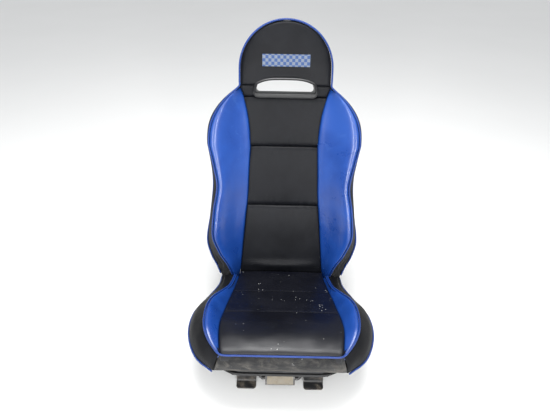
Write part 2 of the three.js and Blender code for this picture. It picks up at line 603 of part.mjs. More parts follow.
// The gusset between the top edge and the underside edge, with its thickness taken inwards.
function sideGusset(side, inset) {
  const rings = [];
  for (let k = 0; k <= 12; k++) {
    const q = k / 12;
    const top = cushionEdgePoint(side, q);
    const low = cushionOuterPoint(side, q);
    const outward = new THREE.Vector3(side, -0.6 * q * q, 0).normalize();
    const walls = [inset, inset + GUSSET - GAP].map((depth) => CUSHION_SKIRT_STEPS.map((t) => {
      const bulge = 9 * Math.sin(t * Math.PI) - depth;
      return top.clone().lerp(low, t).addScaledVector(outward, bulge);
    }));
    rings.push([...walls[0], ...walls[1].reverse()]);
  }
  return loft(rings);
}
const FRONT_HALF = CUSHION_SEAM_FRONT_HALF + 2;
const FRONT_SKIRT_X = [-1, -0.62, 0, 0.62, 1];
function frontGusset() {
  const rings = FRONT_SKIRT_X.map((share) => {
    const top = new THREE.Vector3(share * (FRONT_HALF - 9),
      CUSHION_FRONT_Y + 2 + (Math.abs(share) === 1 ? 6 : 0), CUSHION_FRONT_Z);
    const low = new THREE.Vector3(share * (CUSHION_OUTER_FRONT_HALF - 14), CUSHION_UNDER_FRONT_Y,
      CUSHION_UNDER_Z);
    const walls = [0, GUSSET].map((depth) => CUSHION_SKIRT_STEPS.map((t) => {
      const p = top.clone().lerp(low, t);
      p.y += depth - 9 * Math.sin(t * Math.PI);
      return p;
    }));
    return [...walls[0], ...walls[1].reverse()];
  });
  return loft(rings);
}
const frontSkirt = frontGusset();
add("cushion_gusset_front", frontSkirt, blackVinyl());

// The pan under the cushion: its flange runs under the covers, and its rear fits inside the side plates.
const PAN_FRONT_Y = CUSHION_UNDER_FRONT_Y + GUSSET + 4;
const panHalf = eased([PAN_FRONT_Y, CUSHION_OUTER_FRONT_HALF - 16], [-190, CUSHION_OUTER_HALF - 44],
  [-60, CUSHION_OUTER_HALF - 58],
  [36, HOOP_HALF + HOOP_FOOT_OUT + HOOP_RADIUS]);
const PAN_FLOOR_Z = UPPER_RAIL_TOP + GAP;
// The place on the side covers' lower edge that is level with y.
function outerAt(y) {
  let [behind, ahead] = [0, 1];
  for (let i = 0; i < 24; i++) {
    const q = (behind + ahead) / 2;
    if (outerCurve.getPointAt(q).y > y) behind = q;
    else ahead = q;
  }
  return outerCurve.getPointAt(ahead);
}
const PLATE_X = HOOP_HALF + HOOP_FOOT_OUT + HOOP_RADIUS + GAP;
// The pan's wall leans out beside the cushion, so that its flange runs under the side covers' lower edge.
function panRings(shrink, over) {
  return Array.from({ length: 14 }, (_, k) => {
    const y = lerp(PAN_FRONT_Y + shrink, PAN_REAR_Y - shrink, k / 13);
    const half = panHalf(y) - shrink;
    const floor = PAN_FLOOR_Z + shrink;
    const shoulder = PAN_RIM_Z - PAN_CORNER;
    const beside = 1 - THREE.MathUtils.smoothstep(y, 0, 46);
    const rim = lerp(PAN_RIM_Z, Math.max(PAN_RIM_Z, outerAt(y).z - PAN_TUCK), beside);
    const flange = lerp(half, Math.max(half, outerAt(y).x - PAN_TUCK - shrink), beside);
    const lean = (flange - half) / (rim - shoulder);
    const [wide, top] = [flange + over * lean, rim + over];
    return [[-wide, top], [-half, shoulder], [-half + 46, floor], [half - 46, floor], [half, shoulder],
      [wide, top]]
      .map(([x, z]) => new THREE.Vector3(x, y, z));
  });
}
const pan = loft(panRings(0, 0)).subtract(loft(panRings(PAN_WALL, 30)));
// The room the pan's wall takes up, with its clearance.
const panWallRoom = loft(panRings(-GAP, GAP)).subtract(loft(panRings(PAN_WALL + GAP, 30)));

for (const side of [-1, 1]) {
  add(mirror(side, "cushion_gusset"), sideGusset(side, 0), blackVinyl());
  const bolster = loft(Array.from({ length: 13 }, (_, k) => {
    const y = lerp(SIDE_REAR_Y, CUSHION_CORNER_Y + 8, k / 12);
    const seam = cushionSeam(y) + GAP;
    const edge = Math.max(cushionEdge(y) - GUSSET - 2, seam + 2);
    const low = cushionTop(y) - 3;
    const high = cushionEdgeZ(y);
    const base = cushionTop(y) - CUSHION_PAD;
    return [
      [seam, base], [edge, base], [edge, high], [lerp(seam, edge, 0.72), lerp(low, high, 1.12)],
      [lerp(seam, edge, 0.42), lerp(low, high, 0.72)], [lerp(seam, edge, 0.2), lerp(low, high, 0.28)],
      [seam, low],
    ].map(([x, z]) => new THREE.Vector3(side * x, y, z));
  }));
  add(mirror(side, "cushion_bolster"),
    bolster.subtract(sideGusset(side, GAP + 0.2)).subtract(panWallRoom), blueVinyl());
  const path = Array.from({ length: 12 }, (_, k) => {
    const p = cushionOuterPoint(side, k / 11);
    return new THREE.Vector3(p.x + side * (PIPING_RADIUS + GAP), p.y, p.z - PIPING_RADIUS * 0.6);
  });
  add(mirror(side, "cushion_piping_outer"),
    tube(path, PIPING_RADIUS, 20).subtract(sideGusset(side, -GAP / 2)), pipingVinyl());
}

// ---------- foam of the cushion ----------
const cushionFoam = loft(Array.from({ length: 13 }, (_, k) => {
  const y = lerp(PAN_FRONT_Y + 8, CUSHION_REAR_Y - 8, k / 12);
  const top = cushionTop(y) - CUSHION_PAD - 2;
  const half = Math.min(panHalf(y) - PAN_WALL - 9, cushionEdge(y) - GUSSET * 2);
  const floor = PAN_FLOOR_Z + PAN_WALL + 1;
  const low = Math.min(PAN_RIM_Z - PAN_CORNER + 4, top - 5);
  return [[-half, low], [-half + 44, floor], [half - 44, floor], [half, low], [half - 4, top],
    [-half + 4, top]]
    .map(([x, z]) => new THREE.Vector3(x, y, z));
}));

// ---------- side plates that carry the back frame on the pan ----------
const HOOP_FOOT = onBack(0, HOOP_FOOT_S, HOOP_N);
const platePoints = [[PLATE_FRONT_Y, 100], [HOOP_FOOT.y + 22, 98], [HOOP_FOOT.y + 26, 136],
  [HOOP_FOOT.y + 16, 152],
  [HOOP_FOOT.y - 6, 150], [118, 130], [PLATE_FRONT_Y, 130]];
const alongSide = (side, radius, from, to, y, z, sides) =>
  (side < 0 ? crossBar(radius, -to, -from, y, z, sides)
  : crossBar(radius, from, to, y, z, sides));
const boltPlaces = [["seat_bolt_front", PLATE_FRONT_Y + 28, PAN_RIM_Z - 6, -PAN_WALL - 4],
  ["seat_bolt_rear", HOOP_FOOT.y + 6, 132, 0.6]];
const boltRooms = boltPlaces.map(([, y, z]) =>
  crossBar(BOLT_RADIUS + GAP, -PLATE_X - 40, PLATE_X + 40, y, z, 12));
for (const side of [-1, 1]) {
  const x0 = side < 0 ? -PLATE_X - SIDE_PLATE : PLATE_X;
  const blank = alongX(platePoints, x0, x0 + SIDE_PLATE);
  add(mirror(side, "frame_side_plate"), blank.subtract(boltRooms[0]).subtract(boltRooms[1]), blackSteel());
  for (const [name, y, z, from] of boltPlaces) {
    const face = PLATE_X + SIDE_PLATE + GAP;
    const shank = alongSide(side, BOLT_RADIUS, PLATE_X + from, face + 1, y, z, 12);
    add(mirror(side, name), shank.add(alongSide(side, BOLT_HEAD_RADIUS, face, face + BOLT_HEAD, y, z, 6)),
      zincSteel());
  }
}
add("cushion_pan", pan.subtract(boltRooms[0]), mouldedPlastic());
add("cushion_foam", cushionFoam, foam());

// ---------- slider ----------
const LOWER_TOP = LOWER_RAIL_Z + LOWER_RAIL_HEIGHT;
const bothSides = (x, points) => [...points.map(([a, z]) => [x + a, z]),
  ...points.map(([a, z]) => [x - a, z]).reverse()];
const lowerProfile = (x) => bothSides(x, [
  [0, LOWER_RAIL_Z], [RAIL_HALF, LOWER_RAIL_Z], [RAIL_HALF, LOWER_TOP], [RAIL_HALF - RAIL_LIP, LOWER_TOP],
  [RAIL_HALF - RAIL_LIP, LOWER_TOP - RAIL_WALL], [RAIL_HALF - RAIL_WALL, LOWER_TOP - RAIL_WALL],
  [RAIL_HALF - RAIL_WALL, LOWER_RAIL_Z + RAIL_WALL], [0, LOWER_RAIL_Z + RAIL_WALL],
]);
const FOOT_TOP = LOWER_TOP - RAIL_WALL - 3.5; // the upper rail's feet run under the lower rail's lips
const FOOT_HALF = RAIL_HALF - RAIL_WALL - 1.5;
const upperProfile = (x) => bothSides(x, [
  [0, UPPER_RAIL_TOP - RAIL_WALL], [UPPER_RAIL_HALF - RAIL_WALL, UPPER_RAIL_TOP - RAIL_WALL],
  [UPPER_RAIL_HALF - RAIL_WALL, FOOT_TOP - RAIL_WALL], [FOOT_HALF, FOOT_TOP - RAIL_WALL],
  [FOOT_HALF, FOOT_TOP],
  [UPPER_RAIL_HALF, FOOT_TOP], [UPPER_RAIL_HALF, UPPER_RAIL_TOP], [0, UPPER_RAIL_TOP],
]);
const ROLLER_RADIUS = (FOOT_TOP - LOWER_RAIL_Z) / 2 - RAIL_WALL - ROLLER_CLEARANCE;
const ROLLER_Z = LOWER_RAIL_Z + RAIL_WALL + ROLLER_CLEARANCE + ROLLER_RADIUS;
const ROLLER_MID_Y = (UPPER_RAIL_FRONT_Y + UPPER_RAIL_REAR_Y) / 2;
const pivotRoom = crossBar(PIVOT_PIN + GAP / 2, -RAIL_X - 50, RAIL_X + 50, PIVOT_Y, PIVOT_Z, 12);
for (const side of [-1, 1]) {
  const x = side * RAIL_X;
  add(mirror(side, "lower_rail"), alongY(lowerProfile(x), LOWER_RAIL_FRONT_Y, LOWER_RAIL_REAR_Y),
    zincSteel());
  const upper = alongY(upperProfile(x), UPPER_RAIL_FRONT_Y, UPPER_RAIL_REAR_Y);
  add(mirror(side, "upper_rail"), upper.subtract(pivotRoom), zincSteel());
  // A nylon cage holds two rollers between the rails and travels half as far as the seat.
  const ends = [ROLLER_MID_Y - ROLLER_SPAN / 2, ROLLER_MID_Y + ROLLER_SPAN / 2];
  const strip = box(x - 3, x + 3, ends[0] - 6, ends[1] + 6, ROLLER_Z - 1.2, ROLLER_Z + 1.2);
  const rollers = ends.map((y) => crossBar(ROLLER_RADIUS, x - FOOT_HALF + 1, x + FOOT_HALF - 1, y, ROLLER_Z,
    14));
  add(mirror(side, "roller_cage"), strip.add(rollers[0]).add(rollers[1]), nylon());
  const pinEnd = UPPER_RAIL_HALF - 0.4;
  add(mirror(side, "handle_pin"), crossBar(PIVOT_PIN, x - pinEnd, x + pinEnd, PIVOT_Y, PIVOT_Z, 12),
    zincSteel());
}

// ---------- base: cross members, hooks, end brackets ----------
const CROSS_TOP = LOWER_RAIL_Z - GAP;
const channelProfile = (front, depth, bottom) => [
  [front, bottom], [front + SHEET, bottom], [front + SHEET, CROSS_TOP - SHEET],
  [front + depth - SHEET, CROSS_TOP - SHEET],
  [front + depth - SHEET, bottom], [front + depth, bottom], [front + depth, CROSS_TOP], [front, CROSS_TOP],
];
add("front_cross_member", alongX(channelProfile(CROSS_FRONT_Y, CROSS_DEPTH, CROSS_BOTTOM), -CROSS_HALF,
  CROSS_HALF), blackSteel());
add("rear_cross_member", alongX(channelProfile(REAR_CROSS_Y, REAR_CROSS_DEPTH, 0), -REAR_CROSS_HALF,
  REAR_CROSS_HALF), blackSteel());

for (const side of [-1, 1]) {
  const x = side * HOOK_X;
  // The hook hangs from the cross member's front web and turns forward into the floor's slot.
  const front = CROSS_FRONT_Y - GAP;
  const profile = [
    [front, CROSS_TOP - 4], [front, 8], [front - 3, 3], [front - 8, 0], [front - HOOK_REACH, 0],
    [front - HOOK_REACH, HOOK_SHEET], [front - 10, HOOK_SHEET], [front - HOOK_SHEET - 1, 8],
    [front - HOOK_SHEET, 12],
    [front - HOOK_SHEET, CROSS_TOP - 4],
  ];
  let hook = alongX(profile, x - HOOK_HALF, x + HOOK_HALF);
  for (const edge of [-1, 1]) {
    const cornerPoints = [[-1, -1], [9, -1], [2.6, 2.6], [-1, 9]];
    const corner = new THREE.Shape(cornerPoints.map(([a, b]) => new THREE.Vector2(a, b)));
    const g = new THREE.ExtrudeGeometry(corner, { depth: 20, bevelEnabled: false });
    if (edge > 0) g.scale(-1, 1, 1);
    hook = hook.subtract(solidFrom(g.translate(x + edge * HOOK_HALF, front - HOOK_REACH, -5)));
  }
  add(mirror(side, "floor_hook"), hook, blackSteel());
  // The end flange closes the cross member and has a round hole.
  const x0 = side < 0 ? -CROSS_HALF - GAP - SHEET : CROSS_HALF + GAP;
  const flangeTop = CROSS_TOP + 12;
  const flange = alongX([[CROSS_FRONT_Y, CROSS_BOTTOM], [CROSS_FRONT_Y + CROSS_DEPTH, CROSS_BOTTOM],
    [CROSS_FRONT_Y + CROSS_DEPTH, flangeTop - 8], [CROSS_FRONT_Y + CROSS_DEPTH - 8, flangeTop],
    [CROSS_FRONT_Y + 8, flangeTop],
    [CROSS_FRONT_Y, flangeTop - 8]], x0, x0 + SHEET);
  const hole = crossBar(FLANGE_HOLE, x0 - 5, x0 + SHEET + 5, CROSS_FRONT_Y + CROSS_DEPTH / 2, CROSS_TOP - 5,
    16);
  add(mirror(side, "end_flange"), flange.subtract(hole), blackSteel());
}

// ---------- adjuster handle ----------
const barPath = (side) => [
  [RAIL_X, PIVOT_Y + 8, PIVOT_Z], [RAIL_X, PIVOT_Y - 14, PIVOT_Z], [RAIL_X, PIVOT_Y - 34, PIVOT_Z - 1],
  [RAIL_X - 3, GRIP_Y + 30, PIVOT_Z - 12], [RAIL_X - 10, GRIP_Y + 8, GRIP_Z + 7],
  [RAIL_X - 20, GRIP_Y, GRIP_Z],
  [GRIP_HALF + 4, GRIP_Y, GRIP_Z], [GRIP_HALF - 8, GRIP_Y, GRIP_Z],
].map(([x, y, z]) => new THREE.Vector3(side * x, y, z));
const barPoints = [...barPath(-1), ...barPath(1).reverse()];
add("adjuster_bar", tube(barPoints, BAR_RADIUS, 44, 8).subtract(pivotRoom), blackSteel());
// The grip is a folded plate over the middle of the bar, with a cheek at each end.
const GRIP_TILT = THREE.MathUtils.degToRad(GRIP_TILT_DEG);
const onGrip = (a, b) => [
  GRIP_Y + a * Math.cos(GRIP_TILT) - b * Math.sin(GRIP_TILT),
  GRIP_Z + a * Math.sin(GRIP_TILT) + b * Math.cos(GRIP_TILT),
];
const gripBox = (x0, x1, half, b0, b1) => alongX([onGrip(-half, b0), onGrip(half, b0), onGrip(half, b1),
  onGrip(-half, b1)], x0, x1);
const gripFace = BAR_RADIUS + GAP + 2;
const gripPlate = gripBox(-GRIP_HALF, GRIP_HALF, GRIP_WIDTH / 2, BAR_RADIUS + GAP, gripFace);
const cheeks = [-1, 1].map((side) => gripBox(side * GRIP_HALF - 1.5, side * GRIP_HALF + 1.5, GRIP_WIDTH / 2,
  -BAR_RADIUS - 3, gripFace));
const barRoom = crossBar(BAR_RADIUS + GAP, -GRIP_HALF - 20, GRIP_HALF + 20, GRIP_Y, GRIP_Z, 16);
add("adjuster_grip", gripPlate.add(cheeks[0]).add(cheeks[1]).subtract(barRoom), blackSteel());
add("blank_label", gripBox(-GRIP_HALF + 4, GRIP_HALF - 4, GRIP_WIDTH / 2 - 2, gripFace + GAP,
  gripFace + GAP + 0.8), blankLabel());

// ---------- rear latch ----------
const leverProfile = [[LATCH_Y - 12, LATCH_Z - 22], [LATCH_Y + 8, LATCH_Z - 12],
  [LATCH_Y + 12, LATCH_Z + 6], [LATCH_Y + 46, LATCH_Z + 22],
  [LATCH_Y + 44, LATCH_Z + 27], [LATCH_Y + 4, LATCH_Z + 13], [LATCH_Y - 10, LATCH_Z + 8]];
const latchPinRoom = crossBar(LATCH_PIN + GAP, -60, 60, LATCH_Y, LATCH_Z, 16);
const leverPlate = alongX(leverProfile, -2.5, 2.5);
const leverPaddle = alongX([[LATCH_Y + 38, LATCH_Z + 20], [LATCH_Y + 66, LATCH_Z + 32],
  [LATCH_Y + 64, LATCH_Z + 36], [LATCH_Y + 37, LATCH_Z + 24]],
  -32, 32);
add("latch_lever", leverPlate.add(leverPaddle).subtract(latchPinRoom), blackSteel());
const earProfile = [[REAR_CROSS_Y + REAR_CROSS_DEPTH + GAP, 4], [LATCH_Y + 12, LATCH_Z - 12],
  [LATCH_Y + 12, LATCH_Z + 10], [REAR_CROSS_Y + REAR_CROSS_DEPTH + GAP, 44]];
for (const side of [-1, 1]) {
  const x = side * 16;
  add(mirror(side, "latch_ear"), alongX(earProfile, x - 1.5, x + 1.5).subtract(latchPinRoom), blackSteel());
}
add("latch_pin", crossBar(LATCH_PIN, -24, 24, LATCH_Y, LATCH_Z, 16), zincSteel());
// A torsion spring coiled on the pin, between the lever and one ear.
const coil = [];
const coilRadius = LATCH_PIN + 2.4;
for (let k = 0; k <= 40; k++) {
  const a = (k / 40) * 3 * 2 * Math.PI;
  coil.push(new THREE.Vector3(4.6 + (k / 40) * 7.6, LATCH_Y + coilRadius * Math.cos(a),
    LATCH_Z + coilRadius * Math.sin(a)));
}
add("latch_spring", tube(coil, 0.85, 44, 5), springSteel());

// ---------- origin: middle of the footprint, on the floor ----------
const extent = new THREE.Box3().setFromObject(seat);
seat.position.set(-(extent.min.x + extent.max.x) / 2, -(extent.min.y + extent.max.y) / 2, -extent.min.z);

export default seat;
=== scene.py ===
"""A high-backed racing bucket seat on its slider base: covers, shell, rails and handle."""

import math

import bmesh
import bpy
from mathutils import Matrix, Vector, noise


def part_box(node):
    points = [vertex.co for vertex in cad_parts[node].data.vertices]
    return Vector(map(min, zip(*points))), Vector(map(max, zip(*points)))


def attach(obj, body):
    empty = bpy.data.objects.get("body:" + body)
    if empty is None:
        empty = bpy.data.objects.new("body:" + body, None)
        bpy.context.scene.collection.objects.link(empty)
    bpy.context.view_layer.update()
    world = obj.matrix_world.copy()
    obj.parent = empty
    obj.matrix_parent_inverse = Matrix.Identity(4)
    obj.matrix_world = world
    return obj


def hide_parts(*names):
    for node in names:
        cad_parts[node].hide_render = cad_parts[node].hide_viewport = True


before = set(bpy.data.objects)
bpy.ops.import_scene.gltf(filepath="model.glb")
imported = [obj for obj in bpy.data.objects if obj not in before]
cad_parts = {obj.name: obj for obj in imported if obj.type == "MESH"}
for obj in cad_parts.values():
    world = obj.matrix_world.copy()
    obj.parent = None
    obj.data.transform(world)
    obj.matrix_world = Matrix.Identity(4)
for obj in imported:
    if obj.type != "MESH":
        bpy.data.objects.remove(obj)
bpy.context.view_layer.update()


# ---------- places taken from the frame ----------
BASE_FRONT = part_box("front_cross_member")[0][1]
CREASE_Y = BASE_FRONT + 0.380
CREASE_Z = 0.140
LEAN = math.radians(15)

# ---------- back outline: s up the back, n towards the sitter, metres ----------
NECK_S = 0.652
SHOULDER_S = 0.470
NECK_HALF = 0.146
HEAD_RADIUS = 0.1455
HEAD_CENTRE_S = 0.706
HEAD_TOP_S = HEAD_CENTRE_S + HEAD_RADIUS
SHOULDER_ROUND = 2.6
GUSSET = 0.007
PAD_BASE_N = 0.002
CENTRE_N = 0.022
NECK_EDGE_N = 0.030
LUMBAR_SEAM_S = 0.252
CHEST_SEAM_S = 0.460
NECK_SEAM_S = 0.622
HEAD_SEAM_S = 0.658
SLOT_HALF = 0.095
SLOT_LOW_S = 0.632
SLOT_HIGH_S = 0.674
PIPING = 0.0028


def flowing(*stations):
    """A smooth curve through stations (place, value) that never swings past them."""
    xs = [a for a, _ in stations]
    ys = [b for _, b in stations]
    rise = [(ys[i + 1] - ys[i]) / (xs[i + 1] - xs[i]) for i in range(len(xs) - 1)]
    slope = [rise[0]]
    slope += [0 if a * b <= 0 else 2 * a * b / (a + b) for a, b in zip(rise, rise[1:])]
    slope += [rise[-1]]

    def value(at):
        if at <= xs[0]:
            return ys[0]
        if at >= xs[-1]:
            return ys[-1]
        i = max(k for k in range(len(xs) - 1) if xs[k] <= at)
        span = xs[i + 1] - xs[i]
        t = (at - xs[i]) / span
        near = (1 + 2 * t) * (1 - t) ** 2 * ys[i] + t * (1 - t) ** 2 * span * slope[i]
        return near + t * t * (3 - 2 * t) * ys[i + 1] + t * t * (t - 1) * span * slope[i + 1]

    return value


def mix(a, b, t):
    return a + (b - a) * t


def clamp(v, low=0.0, high=1.0):
    return max(low, min(high, v))


def smooth(t):
    t = clamp(t)
    return t * t * (3 - 2 * t)


def tuck(distance, reach):
    """How far a stuffed cover drops at this distance from its sewn edge."""
    if distance >= reach:
        return 0.0
    u = 1 - clamp(distance / reach)
    return -reach * (1 - math.sqrt(max(0.0, 1 - u * u)))


def soft_min(*values, width=0.006):
    total = sum(math.exp(-v / width) for v in values)
    return max(0.0, -width * math.log(total))


# ---------- shape of the back ----------
def on_back(x, s, n):
    sine, cosine = math.sin(LEAN), math.cos(LEAN)
    return Vector((x, CREASE_Y + s * sine - n * cosine, CREASE_Z + s * cosine + n * sine))


low_outer = flowing((-0.058, 0.214), (0.0, 0.234), (0.050, 0.256), (0.105, 0.268), (0.215, 0.252),
    (0.335, 0.240),
    (0.410, 0.2455), (SHOULDER_S, 0.251))
low_edge = flowing((-0.034, 0.168), (0.0, 0.176), (0.040, 0.189), (0.095, 0.216), (0.175, 0.237),
    (0.255, 0.231), (0.335, 0.219),
    (0.400, 0.229), (SHOULDER_S, 0.244))
edge_rise = flowing((-0.034, 0.050), (0.0, 0.061), (0.05, 0.076), (0.175, 0.100), (0.335, 0.078),
    (SHOULDER_S, 0.070), (0.59, 0.052),
    (NECK_S, NECK_EDGE_N))
shell_depth = flowing((-0.058, 0.092), (0.20, 0.080), (0.50, 0.056), (HEAD_CENTRE_S, 0.046),
    (HEAD_TOP_S, 0.033))


def rounded_shoulder(s, half):
    t = clamp((s - SHOULDER_S) / (NECK_S - SHOULDER_S))
    return NECK_HALF + (half - NECK_HALF) * (1 - t ** SHOULDER_ROUND)


def head_half(s):
    if s <= HEAD_CENTRE_S:
        return mix(NECK_HALF, HEAD_RADIUS, smooth((s - NECK_S) / (HEAD_CENTRE_S - NECK_S)))
    return math.sqrt(max(0.0, HEAD_RADIUS ** 2 - (s - HEAD_CENTRE_S) ** 2))


def outline(s, low, shoulder):
    if s <= SHOULDER_S:
        return low(s)
    return rounded_shoulder(s, shoulder) if s <= NECK_S else head_half(s)


def outer_half(s):
    return outline(s, low_outer, 0.251)


def edge_half(s):
    return outline(s, low_edge, 0.244)


seam_low = flowing((-0.034, 0.153), (0.0, 0.148), (0.10, 0.1385), (0.22, 0.127), (0.30, 0.119),
    (0.36, 0.1165), (0.445, 0.112))


def seam_half(s):
    if s <= 0.445:
        return seam_low(s)
    return 0.112 + (NECK_HALF - 0.112) * clamp((s - 0.445) / (NECK_S - 0.445)) ** SHOULDER_ROUND


# ---------- meshes ----------
def piece(name, verts, faces, body, node_slot, replaced=(), smooth_angle=40):
    mesh = bpy.data.meshes.new(name)
    mesh.from_pydata([tuple(v) for v in verts], [], faces)
    made = bmesh.new()
    made.from_mesh(mesh)
    bmesh.ops.remove_doubles(made, verts=made.verts, dist=2e-5)
    bmesh.ops.dissolve_degenerate(made, edges=made.edges, dist=1e-6)
    bmesh.ops.recalc_face_normals(made, faces=made.faces)
    made.to_mesh(mesh)
    made.free()
    obj = bpy.data.objects.new(name, mesh)
    bpy.context.scene.collection.objects.link(obj)
    mesh.polygons.foreach_set("use_smooth", [True] * len(mesh.polygons))
    mesh.set_sharp_from_angle(angle=math.radians(smooth_angle))
    mesh.materials.append(finish_of[node_slot])
    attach(obj, body)
    if replaced:
        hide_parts(*replaced)
    return obj


def padded_form(front, back, nu, nv):
    """Verts and faces of a closed form from a front and a back that share their outline."""
    verts = [front(i / nu, j / nv) for j in range(nv + 1) for i in range(nu + 1)]
    count = len(verts)
    verts += [back(i / nu, j / nv) for j in range(nv + 1) for i in range(nu + 1)]
    at = lambda i, j: j * (nu + 1) + i
    faces = []
    for j in range(nv):
        for i in range(nu):
            a, b, c, d = at(i, j), at(i + 1, j), at(i + 1, j + 1), at(i, j + 1)
            faces.append((a, b, c, d))
            faces.append((a + count, d + count, c + count, b + count))
    rim = [at(i, 0) for i in range(nu + 1)] + [at(nu, j) for j in range(1, nv + 1)]
    rim += [at(i, nv) for i in range(nu - 1, -1, -1)] + [at(0, j) for j in range(nv - 1, 0, -1)]
    for a, b in zip(rim, rim[1:] + rim[:1]):
        faces.append((b, a, a + count, b + count))
    return verts, faces


def swept(path, section, closed=False, caps=True):
    """Runs a closed section (pairs across the path) along frames (point, side, up)."""
    verts = []
    count = len(section)
    for point, side, up in path:
        verts += [point + side * a + up * b for a, b in section]
    faces = []
    rows = len(path)
    for r in range(rows if closed else rows - 1):
        n = ((r + 1) % rows) * count
        for i in range(count):
            k = (i + 1) % count
            faces.append((r * count + i, r * count + k, n + k, n + i))
    if caps and not closed:
        faces.append(tuple(range(count - 1, -1, -1)))
        faces.append(tuple((rows - 1) * count + i for i in range(count)))
    return verts, faces


def smooth_path(points, steps, closed=False):
    """Centripetal curve through points, sampled evenly."""
    n = len(points)
    dense = []
    spans = n if closed else n - 1
    for i in range(spans):
        p1, p2 = points[i], points[(i + 1) % n]
        p0 = points[(i - 1) % n] if closed or i > 0 else p1 * 2 - p2
        p3 = points[(i + 2) % n] if closed or i + 2 < n else p2 * 2 - p1
        t0 = 0.0
        t1 = t0 + max((p1 - p0).length, 1e-9) ** 0.5
        t2 = t1 + max((p2 - p1).length, 1e-9) ** 0.5
        t3 = t2 + max((p3 - p2).length, 1e-9) ** 0.5
        for k in range(10):
            t = mix(t1, t2, k / 10)
            a1 = p0 * ((t1 - t) / (t1 - t0)) + p1 * ((t - t0) / (t1 - t0))
            a2 = p1 * ((t2 - t) / (t2 - t1)) + p2 * ((t - t1) / (t2 - t1))
            a3 = p2 * ((t3 - t) / (t3 - t2)) + p3 * ((t - t2) / (t3 - t2))
            b1 = a1 * ((t2 - t) / (t2 - t0)) + a2 * ((t - t0) / (t2 - t0))
            b2 = a2 * ((t3 - t) / (t3 - t1)) + a3 * ((t - t1) / (t3 - t1))
            dense.append(b1 * ((t2 - t) / (t2 - t1)) + b2 * ((t - t1) / (t2 - t1)))
    dense.append(points[0] if closed else points[-1])
    lengths = [0.0]
    for a, b in zip(dense, dense[1:]):
        lengths.append(lengths[-1] + (b - a).length)
    out = []
    at = 0
    for k in range(steps if closed else steps + 1):
        want = lengths[-1] * k / steps
        while at < len(lengths) - 2 and lengths[at + 1] < want:
            at += 1
        span = max(lengths[at + 1] - lengths[at], 1e-9)
        out.append(dense[at].lerp(dense[at + 1], clamp((want - lengths[at]) / span)))
    return out


def frames_along(points, closed=False):
    """Turning frames for a tube, carried along so that they don't twist."""
    out = []
    side = None
    n = len(points)
    for i, p in enumerate(points):
        ahead = points[(i + 1) % n] if closed or i + 1 < n else p
        behind = points[i - 1] if closed or i > 0 else p
        way = (ahead - behind).normalized()
        if side is None:
            side = way.orthogonal().normalized()
        side = (side - way * side.dot(way)).normalized()
        out.append((p, side, way.cross(side)))
    return out


def rod(name, points, radius, steps, body, node_slot, replaced=(), sides=12, rounded=True):
    """A round cord or bar with domed ends."""
    path = frames_along(smooth_path(points, steps))
    if rounded:
        first, last = path[0], path[-1]
        out_first = (path[0][0] - path[1][0]).normalized()
        out_last = (path[-1][0] - path[-2][0]).normalized()
        scales = [(0.35, 0.96), (0.7, 0.74), (0.92, 0.42)]
        start = [(first[0] + out_first * radius * (a - 0.98), first[1] * b, first[2] * b)
            for b, a in scales]
        end = [(last[0] + out_last * radius * (a - 0.98), last[1] * b, last[2] * b)
            for b, a in reversed(scales)]
        path = start + path[1:-1] + end
    ring = [(radius * math.cos(2 * math.pi * k / sides), radius * math.sin(2 * math.pi * k / sides))
        for k in range(sides)]
    verts, faces = swept(path, ring)
    return piece(name, verts, faces, body, node_slot, replaced, 60)


# ---------- shared surface effects ----------
def node_group(name, inputs, outputs):
    group = bpy.data.node_groups.new(name, "ShaderNodeTree")
    for label, kind, value in inputs:
        socket = group.interface.new_socket(label, in_out="INPUT", socket_type=kind)
        if value is not None:
            socket.default_value = value
    for label, kind in outputs:
        group.interface.new_socket(label, in_out="OUTPUT", socket_type=kind)
    return group, group.nodes.new("NodeGroupInput"), group.nodes.new("NodeGroupOutput")


def link(tree, a, b):
    tree.links.new(a, b)


def math_node(tree, kind, a, b=None, clamped=False):
    made = tree.nodes.new("ShaderNodeMath")
    made.operation = kind
    made.use_clamp = clamped
    for socket, value in zip(made.inputs, (a, b)):
        if value is None:
            continue
        if isinstance(value, (int, float)):
            socket.default_value = value
        else:
            link(tree, value, socket)
    return made.outputs[0]


def noise_node(tree, place, scale, detail=3.0, rough=0.55, distort=0.0):
    made = tree.nodes.new("ShaderNodeTexNoise")
    made.inputs["Scale"].default_value = 1.0
    if isinstance(scale, (int, float)):
        made.inputs["Scale"].default_value = scale
    else:
        link(tree, scale, made.inputs["Scale"])
    made.inputs["Detail"].default_value = detail
    made.inputs["Roughness"].default_value = rough
    made.inputs["Distortion"].default_value = distort
    link(tree, place, made.inputs["Vector"])
    return made.outputs["Fac"]


def banded(tree, value, low, high):
    """0 below low, 1 above high, and a smooth step between."""
    made = tree.nodes.new("ShaderNodeMapRange")
    made.interpolation_type = "SMOOTHSTEP"
    made.inputs["From Min"].default_value = low
    made.inputs["From Max"].default_value = high
    link(tree, value, made.inputs["Value"])
    return made.outputs["Result"]


def place_node(tree):
    return tree.nodes.new("ShaderNodeTexCoord").outputs["Object"]


